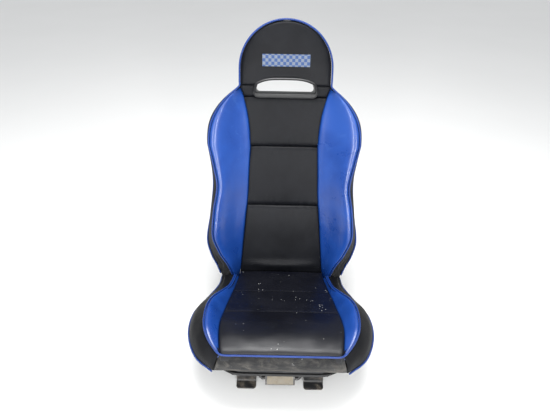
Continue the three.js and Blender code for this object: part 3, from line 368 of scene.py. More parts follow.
def vinyl_grain_group():
    """Pebbled vinyl: a height of cells and creases, and a slow mottling."""
    group, inn, out = node_group(
        "vinyl_grain",
        [("Cells per metre", "NodeSocketFloat", 900.0), ("Mottle per metre", "NodeSocketFloat", 9.0)],
        [("Height", "NodeSocketFloat"), ("Mottle", "NodeSocketFloat"), ("Rubbed", "NodeSocketFloat")])
    place = place_node(group)
    cells = group.nodes.new("ShaderNodeTexVoronoi")
    cells.feature = "SMOOTH_F1"
    cells.inputs["Smoothness"].default_value = 0.35
    link(group, place, cells.inputs["Vector"])
    link(group, inn.outputs["Cells per metre"], cells.inputs["Scale"])
    fine = noise_node(group, place, math_node(group, "MULTIPLY", inn.outputs["Cells per metre"], 0.45), 4.0,
        0.6)
    broad = noise_node(group, place, 70.0, 2.0)
    height = math_node(group, "ADD", math_node(group, "MULTIPLY", cells.outputs["Distance"], 0.8), fine)
    link(group, math_node(group, "ADD", height, math_node(group, "MULTIPLY", broad, 0.6)),
        out.inputs["Height"])
    mottle = noise_node(group, place, inn.outputs["Mottle per metre"], 5.0, 0.62, 0.4)
    link(group, banded(group, mottle, 0.32, 0.68), out.inputs["Mottle"])
    rubbed = noise_node(group, place, 26.0, 7.0, 0.7, 0.8)
    link(group, banded(group, rubbed, 0.58, 0.74), out.inputs["Rubbed"])
    return group


def dust_group():
    """Dust thicker low down, from none at High to full at Low, in noisy patches, with scattered specks."""
    group, inn, out = node_group(
        "settled_dust",
        [("Low", "NodeSocketFloat", 0.0), ("High", "NodeSocketFloat", 0.2),
            ("Specks", "NodeSocketFloat", 0.5)],
        [("Dust", "NodeSocketFloat"), ("Specks", "NodeSocketFloat")])
    place = place_node(group)
    split = group.nodes.new("ShaderNodeSeparateXYZ")
    link(group, place, split.inputs[0])
    fall = math_node(group, "SUBTRACT", inn.outputs["High"], split.outputs["Z"])
    span = math_node(group, "SUBTRACT", inn.outputs["High"], inn.outputs["Low"])
    low = math_node(group, "DIVIDE", fall, span, clamped=True)
    patches = banded(group, noise_node(group, place, 34.0, 8.0, 0.72, 0.6), 0.42, 0.70)
    link(group, math_node(group, "MULTIPLY", low, patches), out.inputs["Dust"])
    cells = group.nodes.new("ShaderNodeTexVoronoi")
    cells.inputs["Scale"].default_value = 95.0
    link(group, place, cells.inputs["Vector"])
    dot = math_node(group, "SUBTRACT", 1.0, banded(group, cells.outputs["Distance"], 0.07, 0.14))
    thin = banded(group, noise_node(group, place, 21.0, 2.0), 0.56, 0.60)
    specks = math_node(group, "MULTIPLY", dot, thin)
    link(group, math_node(group, "MULTIPLY", specks, inn.outputs["Specks"]), out.inputs["Specks"])
    return group


def edge_wear_group():
    """Worn paint on proud edges, from how sharply the surface turns."""
    group, inn, out = node_group("edge_wear", [("Low", "NodeSocketFloat", 0.52),
        ("High", "NodeSocketFloat", 0.62)],
        [("Worn", "NodeSocketFloat")])
    turn = group.nodes.new("ShaderNodeNewGeometry").outputs["Pointiness"]
    span = math_node(group, "SUBTRACT", inn.outputs["High"], inn.outputs["Low"])
    edge = math_node(group, "DIVIDE", math_node(group, "SUBTRACT", turn, inn.outputs["Low"]), span,
        clamped=True)
    patches = banded(group, noise_node(group, place_node(group), 90.0, 6.0, 0.7), 0.42, 0.62)
    link(group, math_node(group, "MULTIPLY", edge, patches), out.inputs["Worn"])
    return group


GRAIN = vinyl_grain_group()
DUST = dust_group()
WEAR = edge_wear_group()


def used_group(tree, group, **values):
    made = tree.nodes.new("ShaderNodeGroup")
    made.node_tree = group
    for label, value in values.items():
        made.inputs[label.replace("_", " ")].default_value = value
    return made.outputs


def colour_mix(tree, factor, a, b):
    made = tree.nodes.new("ShaderNodeMix")
    made.data_type = "RGBA"
    for socket, value in ((made.inputs[0], factor), (made.inputs[6], a), (made.inputs[7], b)):
        if isinstance(value, tuple):
            socket.default_value = (*value, 1.0)
        elif isinstance(value, (int, float)):
            socket.default_value = value
        else:
            link(tree, value, socket)
    return made.outputs[2]


def new_finish(name, **plain):
    material = bpy.data.materials.new(name)
    material.use_nodes = True
    tree = material.node_tree
    shader = tree.nodes["Principled BSDF"]
    for label, value in plain.items():
        shader.inputs[label.replace("_", " ")].default_value = value
    return material, tree, shader


def bumped(tree, shader, height, strength, distance):
    made = tree.nodes.new("ShaderNodeBump")
    made.inputs["Strength"].default_value = strength
    made.inputs["Distance"].default_value = distance
    link(tree, height, made.inputs["Height"])
    link(tree, made.outputs[0], shader.inputs["Normal"])


def vinyl(name, deep, light, rubbed, gloss, cells=950.0, bump=0.22, dust_top=0.0, specks=0.0, coat=0.0,
        shine=0.36):
    material, tree, shader = new_finish(name, Coat_Weight=coat, Coat_Roughness=0.16,
        Specular_IOR_Level=shine)
    grain = used_group(tree, GRAIN, Cells_per_metre=cells)
    colour = colour_mix(tree, grain["Mottle"], deep, light)
    colour = colour_mix(tree, math_node(tree, "MULTIPLY", grain["Rubbed"], 0.35), colour, rubbed)
    rough = math_node(tree, "ADD", math_node(tree, "MULTIPLY", grain["Mottle"], 0.07), gloss)
    rough = math_node(tree, "ADD", rough, math_node(tree, "MULTIPLY", grain["Rubbed"], 0.06))
    if dust_top or specks:
        dust = used_group(tree, DUST, Low=dust_top - 0.12, High=dust_top, Specks=specks)
        film = math_node(tree, "MULTIPLY", dust["Dust"], 0.55)
        colour = colour_mix(tree, film, colour, (0.27, 0.25, 0.22))
        colour = colour_mix(tree, dust["Specks"], colour, (0.62, 0.62, 0.60))
        rough = math_node(tree, "ADD", rough, math_node(tree, "MULTIPLY", film, 0.4), clamped=True)
    link(tree, colour, shader.inputs["Base Color"])
    link(tree, rough, shader.inputs["Roughness"])
    bumped(tree, shader, grain["Height"], bump, 0.0006)
    return material


def metal(name, paint, bare, gloss, metallic, dust_top=0.0, streak=220.0):
    material, tree, shader = new_finish(name)
    place = place_node(tree)
    worn = used_group(tree, WEAR)["Worn"]
    tone = noise_node(tree, place, 40.0, 5.0, 0.6)
    colour = colour_mix(tree, banded(tree, tone, 0.35, 0.7), paint,
        tuple(min(1.0, c * 1.5 + 0.004) for c in paint))
    colour = colour_mix(tree, worn, colour, bare)
    rough = math_node(tree, "ADD", math_node(tree, "MULTIPLY", tone, 0.25), gloss)
    if dust_top:
        dust = used_group(tree, DUST, Low=dust_top - 0.16, High=dust_top, Specks=0.4)
        film = math_node(tree, "MULTIPLY", dust["Dust"], 0.7)
        colour = colour_mix(tree, film, colour, (0.26, 0.22, 0.17))
        colour = colour_mix(tree, dust["Specks"], colour, (0.5, 0.47, 0.42))
        rough = math_node(tree, "ADD", rough, math_node(tree, "MULTIPLY", film, 0.35), clamped=True)
    link(tree, colour, shader.inputs["Base Color"])
    link(tree, rough, shader.inputs["Roughness"])
    link(tree, math_node(tree, "MAXIMUM", math_node(tree, "MULTIPLY", worn, 0.9), metallic),
        shader.inputs["Metallic"])
    bumped(tree, shader, noise_node(tree, place, streak, 4.0, 0.6), 0.25, 0.0004)
    return material


def moulded(name, deep, light, gloss, texture=1400.0):
    material, tree, shader = new_finish(name)
    place = place_node(tree)
    tone = noise_node(tree, place, 12.0, 6.0, 0.65, 0.5)
    scuffs = banded(tree, noise_node(tree, place, 55.0, 9.0, 0.78, 1.2), 0.60, 0.72)
    colour = colour_mix(tree, banded(tree, tone, 0.35, 0.68), deep, light)
    colour = colour_mix(tree, math_node(tree, "MULTIPLY", scuffs, 0.35), colour,
        tuple(c * 2.2 + 0.02 for c in light))
    link(tree, colour, shader.inputs["Base Color"])
    link(tree, math_node(tree, "ADD", math_node(tree, "MULTIPLY", tone, 0.22), gloss),
        shader.inputs["Roughness"])
    bumped(tree, shader, noise_node(tree, place, texture, 3.0, 0.7), 0.35, 0.0003)
    return material


def chequered(name):
    """The headrest patch: two rows of stitched squares inside a border."""
    material, tree, shader = new_finish(name, Sheen_Weight=0.3, Sheen_Roughness=0.5)
    place = place_node(tree)
    checks = tree.nodes.new("ShaderNodeTexChecker")
    checks.inputs["Scale"].default_value = 1 / 0.0092
    checks.inputs["Color1"].default_value = (0.010, 0.058, 0.21, 1)
    checks.inputs["Color2"].default_value = (0.17, 0.20, 0.25, 1)
    shift = tree.nodes.new("ShaderNodeMapping")
    shift.inputs["Location"].default_value = (0.0, 0.0, 0.0009)
    flat = tree.nodes.new("ShaderNodeSeparateXYZ")
    link(tree, place, shift.inputs["Vector"])
    link(tree, shift.outputs[0], flat.inputs[0])
    together = tree.nodes.new("ShaderNodeCombineXYZ")
    link(tree, flat.outputs["X"], together.inputs["X"])
    link(tree, flat.outputs["Z"], together.inputs["Y"])
    link(tree, together.outputs[0], checks.inputs["Vector"])
    thread = tree.nodes.new("ShaderNodeTexWave")
    thread.inputs["Scale"].default_value = 420.0
    thread.inputs["Distortion"].default_value = 1.2
    thread.bands_direction = "DIAGONAL"
    link(tree, place, thread.inputs["Vector"])
    shade = math_node(tree, "ADD", math_node(tree, "MULTIPLY", thread.outputs["Fac"], 0.35), 0.65)
    dark = colour_mix(tree, shade, (0.02, 0.03, 0.06), checks.outputs["Color"])
    link(tree, dark, shader.inputs["Base Color"])
    link(tree, math_node(tree, "ADD", math_node(tree, "MULTIPLY", thread.outputs["Fac"], 0.2), 0.5),
        shader.inputs["Roughness"])
    bumped(tree, shader, thread.outputs["Fac"], 0.6, 0.0004)
    return material


BLACK_DEEP = (0.0044, 0.0048, 0.0064)
BLACK_LIGHT = (0.0080, 0.0086, 0.0108)
BLACK_RUBBED = (0.016, 0.017, 0.019)
finish_of = {
    "blue_vinyl": vinyl("blue_vinyl", (0.0066, 0.043, 0.230), (0.0098, 0.058, 0.285), (0.04, 0.12, 0.38),
        0.27, bump=0.07, coat=0.35, shine=0.5),
    "black_vinyl": vinyl("black_vinyl", BLACK_DEEP, BLACK_LIGHT, BLACK_RUBBED, 0.36, specks=0.0,
        shine=0.13),
    "blue_piping": vinyl("blue_piping", (0.006, 0.030, 0.165), (0.009, 0.042, 0.215), (0.03, 0.09, 0.30),
        0.34, cells=1500.0, bump=0.12,
        coat=0.08, shine=0.3),
    "foam": moulded("foam", (0.030, 0.030, 0.032), (0.050, 0.050, 0.053), 0.85, 700.0),
    "patch_fabric": chequered("patch_fabric"),
    "moulded_plastic": moulded("moulded_plastic", (0.005, 0.005, 0.0055), (0.009, 0.009, 0.0097), 0.44),
    "bezel_plastic": moulded("bezel_plastic", (0.008, 0.008, 0.009), (0.013, 0.013, 0.014), 0.34),
    "black_steel": metal("black_steel", (0.011, 0.011, 0.012), (0.22, 0.21, 0.20), 0.30, 0.0,
        dust_top=0.10),
    "zinc_steel": metal("zinc_steel", (0.33, 0.33, 0.32), (0.5, 0.5, 0.48), 0.26, 0.85, dust_top=0.09),
    "spring_steel": metal("spring_steel", (0.16, 0.16, 0.17), (0.4, 0.4, 0.4), 0.22, 0.9),
    "nylon": moulded("nylon", (0.62, 0.60, 0.54), (0.70, 0.68, 0.62), 0.42),
    "blank_label": metal("blank_label", (0.17, 0.145, 0.105), (0.27, 0.25, 0.21), 0.55, 0.0, dust_top=0.10),
}
CUSHION_BLACK = vinyl("cushion_black_vinyl", (0.0030, 0.0034, 0.0062), (0.0052, 0.0056, 0.0090),
    (0.016, 0.017, 0.020), 0.30,
    specks=1.0, dust_top=0.02)
SIDE_BLACK = vinyl("side_black_vinyl", (0.0042, 0.0045, 0.0058), (0.0080, 0.0084, 0.0102),
    (0.018, 0.019, 0.021), 0.50, shine=0.06)
FRONT_BLACK = vinyl("front_gusset_black_vinyl", (0.0075, 0.0078, 0.009), (0.0135, 0.014, 0.0155),
    (0.034, 0.034, 0.034), 0.42,
    dust_top=0.25, specks=0.6, shine=0.15)


# ---------- back covers ----------
def centre_panel(name, s0, s1, crown, replaced):
    """One black panel of the back's middle, crowned between its seams."""
    def face(u, v):
        s = mix(s0, s1, v)
        half = seam_half(s) - 0.0004
        x = (2 * u - 1) * half
        across = 1 - (2 * u - 1) ** 2
        s -= 0.0035 * (1 - across) ** 3 * (v > 0.5) * (2 * v - 1)
        from_low, from_high = v * (s1 - s0), (1 - v) * (s1 - s0)
        pinch = 0.0011 * (math.exp(-from_low / 0.016) + math.exp(-from_high / 0.016))
        patchy = 0.4 + 0.6 * math.sin(x * 33 + s0 * 9) ** 2
        gather = pinch * math.sin(x * 290 + 1.7 * math.sin(x * 61 + s0 * 40)) * patchy
        rise = crown * (1 - (1 - clamp(from_high / 0.11)) ** 2) ** 0.5
        rise *= (1 - (1 - clamp(from_low / 0.11)) ** 2) ** 0.5
        seams = tuck(from_low + 0.0008, 0.017) * 0.42 + tuck(from_high + 0.0008, 0.017) * 0.42
        if s0 < 0:
            rise += 0.0085 * math.exp(-((s - 0.024) / 0.016) ** 2) * (0.3 + 0.7 * across)
        sides = tuck(half - abs(x) + 0.0012, 0.006) * 0.30
        return on_back(x, s, CENTRE_N + rise * (0.35 + 0.65 * across) - 0.001 + seams + sides + gather)

    def under(u, v):
        s = mix(s0, s1, v)
        return on_back((2 * u - 1) * (seam_half(s) - 0.0004), s, PAD_BASE_N)

    made = piece(name, *padded_form(face, under, 64, max(24, int((s1 - s0) * 260))), "seat", "black_vinyl",
        replaced, 75)
    return made


centre_panel("back_centre_lower", -0.034, LUMBAR_SEAM_S, 0.013, ["back_panel_lower"])
centre_panel("back_centre_middle", LUMBAR_SEAM_S, CHEST_SEAM_S, 0.006, ["back_panel_middle"])
centre_panel("back_centre_upper", CHEST_SEAM_S, NECK_SEAM_S, 0.005, ["back_panel_upper"])


def bolster_face(s, t):
    """Across a bolster from the middle seam, t = 0, to the piping, t = 1: x and n."""
    seam = seam_half(s) + 0.0004
    edge = max(edge_half(s) - GUSSET * 0.4, seam + 0.002)
    low = CENTRE_N - 0.003
    high = edge_rise(s)
    u = 1 - t
    w, h = edge - seam, high - low
    xs = (seam, seam + 0.46 * w, seam + 0.80 * w, edge)
    ns = (low, low + 0.26 * h, high + 0.30 * h, high)
    blend = (u ** 3, 3 * u * u * t, 3 * u * t * t, t ** 3)
    return sum(a * b for a, b in zip(blend, xs)), sum(a * b for a, b in zip(blend, ns)), w


def back_bolster(side, name, replaced):
    s0, s1 = -0.034, NECK_S - 0.004

    def face(u, v):
        s = mix(s0, s1, v)
        x, n, w = bolster_face(s, u)
        inner, outer = tuck(u * w * 1.15, 0.009) * 0.5, tuck((1 - u) * w * 1.15, 0.006) * 0.20
        return on_back(side * x, s, n + inner + outer)

    def under(u, v):
        s = mix(s0, s1, v)
        x, _, w = bolster_face(s, u)
        return on_back(side * x, s, PAD_BASE_N)

    made = piece(name, *padded_form(face, under, 48, 150), "seat", "blue_vinyl", replaced, 75)
    return made


def back_gusset(side, name, replaced):
    """The black side wall from the piping round to the shell."""
    s0, s1 = -0.036, NECK_S - 0.002

    def wall(u, v, deep):
        s = mix(s0, s1, v)
        inner, outer = edge_half(s) + 0.0005, outer_half(s) - 0.0005
        high = edge_rise(s)
        reach = math.hypot(outer - inner, high - PAD_BASE_N)
        bulge = 0.007 * math.sin(math.pi * u) * clamp(reach / 0.06)
        x = mix(inner, outer, u ** 1.15) + bulge
        n = mix(high, PAD_BASE_N + 0.001, u)
        ripple = 190 * u * reach + 46 * s + 2.0 * math.sin(60 * s)
        crease = 0.0040 * smooth((0.090 - s) / 0.10) * math.sin(ripple)
        x += tuck(u * reach + 0.0005, 0.006) * 0.6
        x += tuck((1 - u) * reach + 0.0005, 0.004) * 0.25 - deep + crease
        return on_back(side * x, s, n)

    made = piece(name, *padded_form(lambda u, v: wall(u, v, 0.0), lambda u, v: wall(u, v, 0.006), 26, 150),
        "seat",
        "black_vinyl", replaced, 75)
    made.data.materials[0] = SIDE_BLACK
    return made


for side, word in ((-1, "left"), (1, "right")):
    back_bolster(side, "back_bolster_cover_" + word, ["back_bolster_" + word])
    back_gusset(side, "back_side_cover_" + word, ["back_gusset_" + word])


# ---------- headrest ----------
def slot_top(x, grow=0.0):
    """Height of the slot's arched top edge over its length."""
    t = clamp(abs(x) / (SLOT_HALF + grow))
    rise = SLOT_HIGH_S - 0.002 - 0.0035 * smooth((t - 0.35) / 0.4) * 4 * clamp(t)
    return rise - 0.010 * clamp((t - 0.80) / 0.2) ** 2 + grow


HEAD_LOWER_GROW = 0.007  # how far the headrest cover stays from the slot


def head_face(u, v):
    theta = mix(-math.pi / 2, math.pi / 2, u)
    x = (HEAD_RADIUS - 0.0035) * math.sin(theta)
    top = HEAD_CENTRE_S + (HEAD_RADIUS - 0.0035) * math.cos(theta)
    reach = SLOT_HALF + HEAD_LOWER_GROW
    low = HEAD_SEAM_S if abs(x) >= reach else max(HEAD_SEAM_S, slot_top(x) + HEAD_LOWER_GROW)
    s = mix(low, top, v)
    radius = math.hypot(x, s - HEAD_CENTRE_S)
    to_dome = (HEAD_RADIUS - 0.003 - radius) if s > HEAD_CENTRE_S else HEAD_RADIUS - 0.003 - abs(x)
    rim, foot = tuck(max(to_dome, 0.0) + 0.0004, 0.011) * 0.38, tuck(s - low + 0.001, 0.010) * 0.45
    crown = 0.0105 * math.sqrt(1 - (1 - clamp(to_dome / 0.120)) ** 2)
    crown *= 0.55 + 0.45 * smooth((s - low) / 0.07)
    return x, s, NECK_EDGE_N + crown + rim + foot


headrest = piece(
    "headrest_cover",
    *padded_form(lambda u, v: on_back(*head_face(u, v)),
        lambda u, v: on_back(*head_face(u, v)[:2], PAD_BASE_N), 110, 60),
    "seat", "black_vinyl", ["headrest_pad"], 75)


def neck_side(side, name, replaced=()):
    """The short stretch of cover beside the slot, between its two cross seams."""
    def face(u, v):
        s = mix(NECK_SEAM_S, HEAD_SEAM_S, v)
        inner = SLOT_HALF + 0.006
        outer = min(seam_half(s), NECK_HALF) - 0.001 if s < NECK_S else NECK_HALF - 0.002
        x = mix(inner, outer, u)
        edge = soft_min((outer - x) + 0.001, s - NECK_SEAM_S + 0.001, HEAD_SEAM_S - s + 0.001, width=0.004)
        n = mix(CENTRE_N + 0.001, NECK_EDGE_N - 0.002, smooth(v))
        return x, s, n + tuck(edge, 0.009) * 0.6

    def upper(u, v):
        x, s, n = face(u, v)
        return on_back(side * x, s, n)

    def under(u, v):
        x, s, _ = face(u, v)
        return on_back(side * x, s, PAD_BASE_N)

    made = piece(name, *padded_form(upper, under, 22, 20), "seat", "black_vinyl", replaced, 75)
    return made


neck_side(-1, "neck_cover_left", ["neck_strip"])
neck_side(1, "neck_cover_right", ["neck_strip"])


# ---------- slot surrounds ----------
def slot_loop(count=120):
    """Points of the slot's edge in the back's plane, with outward directions."""
    raw = []
    corner = 0.010
    bottom, half = SLOT_LOW_S, SLOT_HALF
    for k in range(17):
        raw.append((mix(-half + corner, half - corner, k / 16), bottom))
    for k in range(1, 7):
        a = -math.pi / 2 + math.pi / 2 * k / 6
        raw.append((half - corner + corner * math.cos(a), bottom + corner + corner * math.sin(a)))
    for k in range(1, 40):
        x = mix(half - 0.0015, -half + 0.0015, k / 40)
        t = abs(x) / half
        raw.append((x, SLOT_HIGH_S - 0.0005 - 0.0135 * max(0.0, (t - 0.30) / 0.70) ** 2.6 - 0.004 * t * t))
    for k in range(0, 6):
        a = -math.pi + math.pi / 2 * k / 6
        raw.append((-half + corner + corner * math.cos(a), bottom + corner + corner * math.sin(a)))
    points = smooth_path([Vector((x, s, 0)) for x, s in raw], count, closed=True)
    out = []
    for i, p in enumerate(points):
        way = (points[(i + 1) % count] - points[i - 1]).normalized()
        out.append((p, Vector((way.y, -way.x, 0))))
    return out


def slot_surround(name, section_of, replaced):
    verts, faces = [], []
    loop = slot_loop()
    count = None
    for p, away in loop:
        section = section_of(p, away)
        count = len(section)
        verts += [on_back(p.x + away.x * a, p.y + away.y * a, n) for a, n in section]
    for r in range(len(loop)):
        nxt = ((r + 1) % len(loop)) * count
        for i in range(count):
            k = (i + 1) % count
            faces.append((r * count + i, r * count + k, nxt + k, nxt + i))
    return piece(name, verts, faces, "seat", "bezel_plastic", replaced, 35)


def front_lip(p, away):
    wide = mix(0.0085, 0.0155, smooth(clamp(-away.y)))
    top = NECK_EDGE_N + 0.0085
    if away.y < 0:
        top = mix(top, CENTRE_N + 0.0095, smooth(-away.y))
    return [(0.0, -0.008), (0.0, top - 0.0055), (0.0006, top - 0.0030), (0.0022, top - 0.0010),
        (0.0042, top - 0.0003),
        (wide - 0.0035, top - 0.0010), (wide - 0.0014, top - 0.0024), (wide - 0.0004, top - 0.0050),
        (wide - 0.0004, top - 0.0110),
        (0.0050, top - 0.0120), (0.0050, -0.008)]


def rear_lip(p, away):
    deep = -0.0525
    return [(0.0, -0.0084), (0.0050, -0.0084), (0.0050, deep + 0.0045), (0.0125, deep + 0.0045),
        (0.0138, deep + 0.0030),
        (0.0136, deep + 0.0012), (0.0118, deep), (0.0030, deep), (0.0009, deep + 0.0009),
        (0.0, deep + 0.0030)]


slot_surround("slot_surround_front", front_lip, ["slot_bezel_front"])
slot_surround("slot_surround_rear", rear_lip, ["slot_bezel_rear"])


# ---------- piping ----------
def flat_stations(low, high, count):
    return [mix(low, high, k / count) for k in range(count + 1)]


def back_piping_points():
    lift = PIPING * 0.55
    left = []
    for s in flat_stations(-0.030, HEAD_CENTRE_S, 58):
        left.append((edge_half(s) + 0.0002, s, edge_rise(s) + lift))
    dome = []
    for k in range(1, 30):
        a = math.pi * k / 30
        dome.append((-(HEAD_RADIUS + 0.0002) * math.cos(a),
            HEAD_CENTRE_S + (HEAD_RADIUS + 0.0002) * math.sin(a), NECK_EDGE_N + lift))
    points = [on_back(-x, s, n) for x, s, n in left]
    points += [on_back(x, s, n) for x, s, n in dome]
    points += [on_back(x, s, n) for x, s, n in reversed(left)]
    return points


rod("back_piping_line", back_piping_points(), PIPING, 420, "seat", "blue_piping", ["back_piping_front"])
for side, word in ((-1, "left"), (1, "right")):
    rise = [on_back(side * (outer_half(s) + 0.0016), s, 0.0035)
        for s in flat_stations(-0.030, SHOULDER_S + 0.10, 44)]
    rod("back_outer_piping_line_" + word, rise, PIPING, 200, "seat", "blue_piping",
        ["back_piping_outer_" + word])


# ---------- shape of the cushion: its y is measured from a line behind the base's front ----------
CUSHION_LINE = BASE_FRONT + 0.240


def row_y(y):
    return CUSHION_LINE + y


FRONT_Y = -0.332
CORNER_Y = -0.324
SIDE_REAR_Y = 0.066

cushion_top = flowing((-0.332, 0.2365), (-0.305, 0.2435), (-0.268, 0.2465), (-0.215, 0.2385),
    (-0.155, 0.2200),
    (-0.035, 0.1855), (0.060, 0.1600), (0.100, 0.1500))
cushion_seam = flowing((-0.328, 0.169), (-0.300, 0.1755), (-0.215, 0.183), (-0.10, 0.172), (0.0, 0.158),
    (0.100, 0.147))
side_edge = flowing((-0.200, 0.2275), (-0.150, 0.2240), (-0.100, 0.2110), (-0.055, 0.1920),
    (-0.015, 0.1755),
    (0.016, 0.1690), (0.066, 0.1640))
edge_height = flowing((-0.328, 0.237), (-0.290, 0.2495), (-0.240, 0.2600), (-0.190, 0.2620),
    (-0.130, 0.2470), (-0.070, 0.2180), (-0.020, 0.1945), (0.020, 0.1810),
    (0.066, 0.1660))


def cushion_edge(y):
    if y > -0.200:
        return side_edge(y)
    t = clamp((-0.200 - y) / (-0.200 - CORNER_Y))
    return mix(0.2275, 0.174, t ** 2.6)


def at(x, y, z):
    return Vector((x, row_y(y), z))


def cushion_panel(name, y0, y1, front_edge, replaced):
    def face(u, v):
        y = mix(y0, y1, v)
        half = cushion_seam(y) - 0.0005
        x = (2 * u - 1) * half
        ahead, behind = y - y0 + 0.001, y1 - y + 0.001
        across = 1 - (2 * u - 1) ** 2
        swell = 0.0040 * across + 0.0012 * math.sin(math.pi * v) * across
        wander = 0.0012 * noise.noise(Vector((x * 22, y * 22, 4.0)))
        dip = tuck(ahead, 0.012) * (0.75 if front_edge else 0.16)
        dip += tuck(behind, 0.007) * 0.22 + tuck(half - abs(x) + 0.001, 0.007) * 0.35
        return at(x, y, cushion_top(y) + swell + wander + dip)

    def under(u, v):
        y = mix(y0, y1, v)
        return at((2 * u - 1) * (cushion_seam(y) - 0.0005), y, cushion_top(y) - 0.026)

    made = piece(name, *padded_form(face, under, 74, max(30, int((y1 - y0) * 240))), "seat", "black_vinyl",
        replaced, 75)
    made.data.materials[0] = CUSHION_BLACK


cushion_panel("cushion_cover_front", FRONT_Y + 0.0045, -0.155, True, ["cushion_panel_front"])
cushion_panel("cushion_cover_middle", -0.155, -0.035, False, ["cushion_panel_middle"])
cushion_panel("cushion_cover_rear", -0.035, 0.100, False, ["cushion_panel_rear"])


def cushion_bolster(side, name, replaced):
    """The blue crescent from the crease to the front corner, standing above the middle."""
    def section(y, u):
        seam = cushion_seam(y) + 0.0005
        edge = max(cushion_edge(y) - 0.002, seam + 0.003)
        low = cushion_top(y) - 0.004
        high = max(edge_height(y), low + 0.001)
        w, h = edge - seam, high - low
        xs = (seam, seam + 0.30 * w, seam + 0.66 * w, edge)
        zs = (low, low + 0.34 * h, high + 0.30 * h, high)
        k = 1 - u
        b = (k ** 3, 3 * k * k * u, 3 * k * u * u, u ** 3)
        return sum(p * q for p, q in zip(b, xs)), sum(p * q for p, q in zip(b, zs)), w

    def face(u, v):
        y = mix(CORNER_Y + 0.004, SIDE_REAR_Y, v)
        x, z, w = section(y, u)
        return at(side * x, y, z + tuck(u * w * 1.2, 0.008) * 0.45 + tuck((1 - u) * w * 1.2, 0.006) * 0.15)

    def under(u, v):
        y = mix(CORNER_Y + 0.004, SIDE_REAR_Y, v)
        x, _, _ = section(y, u)
        return at(side * x, y, cushion_top(y) - 0.026)

    made = piece(name, *padded_form(face, under, 36, 110), "seat", "blue_vinyl", replaced, 75)


OUTER_CORNERS = [(0.212, 0.092, 0.136), (0.215, 0.030, 0.152), (0.240, -0.040, 0.166),
    (0.2800, -0.125, 0.172), (0.2830, -0.200, 0.163),
    (0.252, -0.268, 0.146), (0.200, -0.300, 0.125)]
OUTER_LINE = smooth_path([Vector(p) for p in OUTER_CORNERS], 80)


def outer_point(q):
    f = clamp(q) * 80
    i = min(79, int(f))
    return OUTER_LINE[i].lerp(OUTER_LINE[i + 1], f - i)


def side_skirt(side, name, replaced):
    """The wide black side of the cushion, from the top piping out to the lower piping."""
    def wall(q, t, deep):
        y = mix(SIDE_REAR_Y, CORNER_Y, q)
        top = Vector((cushion_edge(y) + 0.0005, y, edge_height(y) - 0.001))
        low = outer_point(q) + Vector((0, 0, 0.0005))
        outward = Vector((1, -0.6 * q * q, 0)).normalized()
        drop = (top - low).length
        inner = tuck(soft_min(t * drop + 0.0008, (1 - q) * 0.30 + 0.001, width=0.004), 0.009) * 0.7
        pull = 0.0022 * math.sin(5.0 * math.pi * t + 16 * q) * smooth((0.30 - q) / 0.24)
        pull += 0.0010 * noise.noise(Vector((q * 9, t * 3.2, side * 5.0)))
        out = 0.011 * math.sin(math.pi * t) + inner + tuck((1 - t) * drop + 0.0008,
            0.005) * 0.25 + pull - deep
        spot = top.lerp(low, t) + outward * out
        return at(side * spot.x, spot.y, spot.z)

    made = piece(name, *padded_form(lambda u, v: wall(v, u, 0.0), lambda u, v: wall(v, u, 0.0068), 34, 110),
        "seat",
        "black_vinyl", replaced, 75)
    made.data.materials[0] = SIDE_BLACK


for side, word in ((-1, "left"), (1, "right")):
    cushion_bolster(side, "cushion_bolster_cover_" + word, ["cushion_bolster_" + word])
    side_skirt(side, "cushion_side_cover_" + word, ["cushion_gusset_" + word])
    low_line = [outer_point(k / 22) for k in range(23)]
    rod("cushion_outer_piping_line_" + word,
        [at(side * (p.x + 0.0013), p.y - 0.0009 * k / 22, p.z - 0.0012) for k, p in enumerate(low_line)],
        PIPING, 150, "seat", "blue_piping", ["cushion_piping_outer_" + word])


def front_skirt(u, t, deep):
    """The black front of the cushion, leaning back towards the base."""
    share = 2 * u - 1
    corner = abs(share) ** 6
    top = Vector((share * 0.1725, FRONT_Y + 0.003 + 0.0055 * corner, 0.2365))
    low = Vector((share * 0.1985, -0.299 + 0.002 * corner, 0.1225 + 0.0045 * (1 - share * share)))
    drop = (top - low).length
    edge = soft_min(t * drop + 0.001, (1 - t) * drop + 0.001, (1 - abs(share)) * 0.17 + 0.0012, width=0.004)
    sag = 0.0014 * noise.noise(Vector((share * 5.5, t * 2.6, 1.5))) + 0.0008 * math.sin(9 * share + 6 * t)
    out = 0.010 * math.sin(math.pi * t) + tuck(edge, 0.010) * 0.7 + sag - deep
    spot = top.lerp(low, t)
    return at(spot.x, spot.y - out, spot.z)


front = piece("cushion_front_cover", *padded_form(lambda u, v: front_skirt(u, v, 0.0),
    lambda u, v: front_skirt(u, v, 0.0065), 110, 40),
    "seat", "black_vinyl", ["cushion_gusset_front"], 75)
front.data.materials[0] = FRONT_BLACK

lift = PIPING * 0.6
rear_to_corner = [(cushion_edge(y) + 0.0002, y, edge_height(y) + lift)
    for y in flat_stations(SIDE_REAR_Y, CORNER_Y + 0.012, 26)]
corner_turn = [(0.1765, -0.3215, 0.2380 + lift), (0.1655, -0.3275, 0.2370 + lift)]
top_line = [at(-x, y, z) for x, y, z in rear_to_corner + corner_turn]
top_line += [at(x, FRONT_Y + 0.0035, 0.2366 + lift) for x in (-0.12, -0.06, 0.0, 0.06, 0.12)]
top_line += [at(x, y, z) for x, y, z in reversed(rear_to_corner + corner_turn)]
rod("cushion_top_piping_line", top_line, PIPING, 380, "seat", "blue_piping", ["cushion_piping_top"])


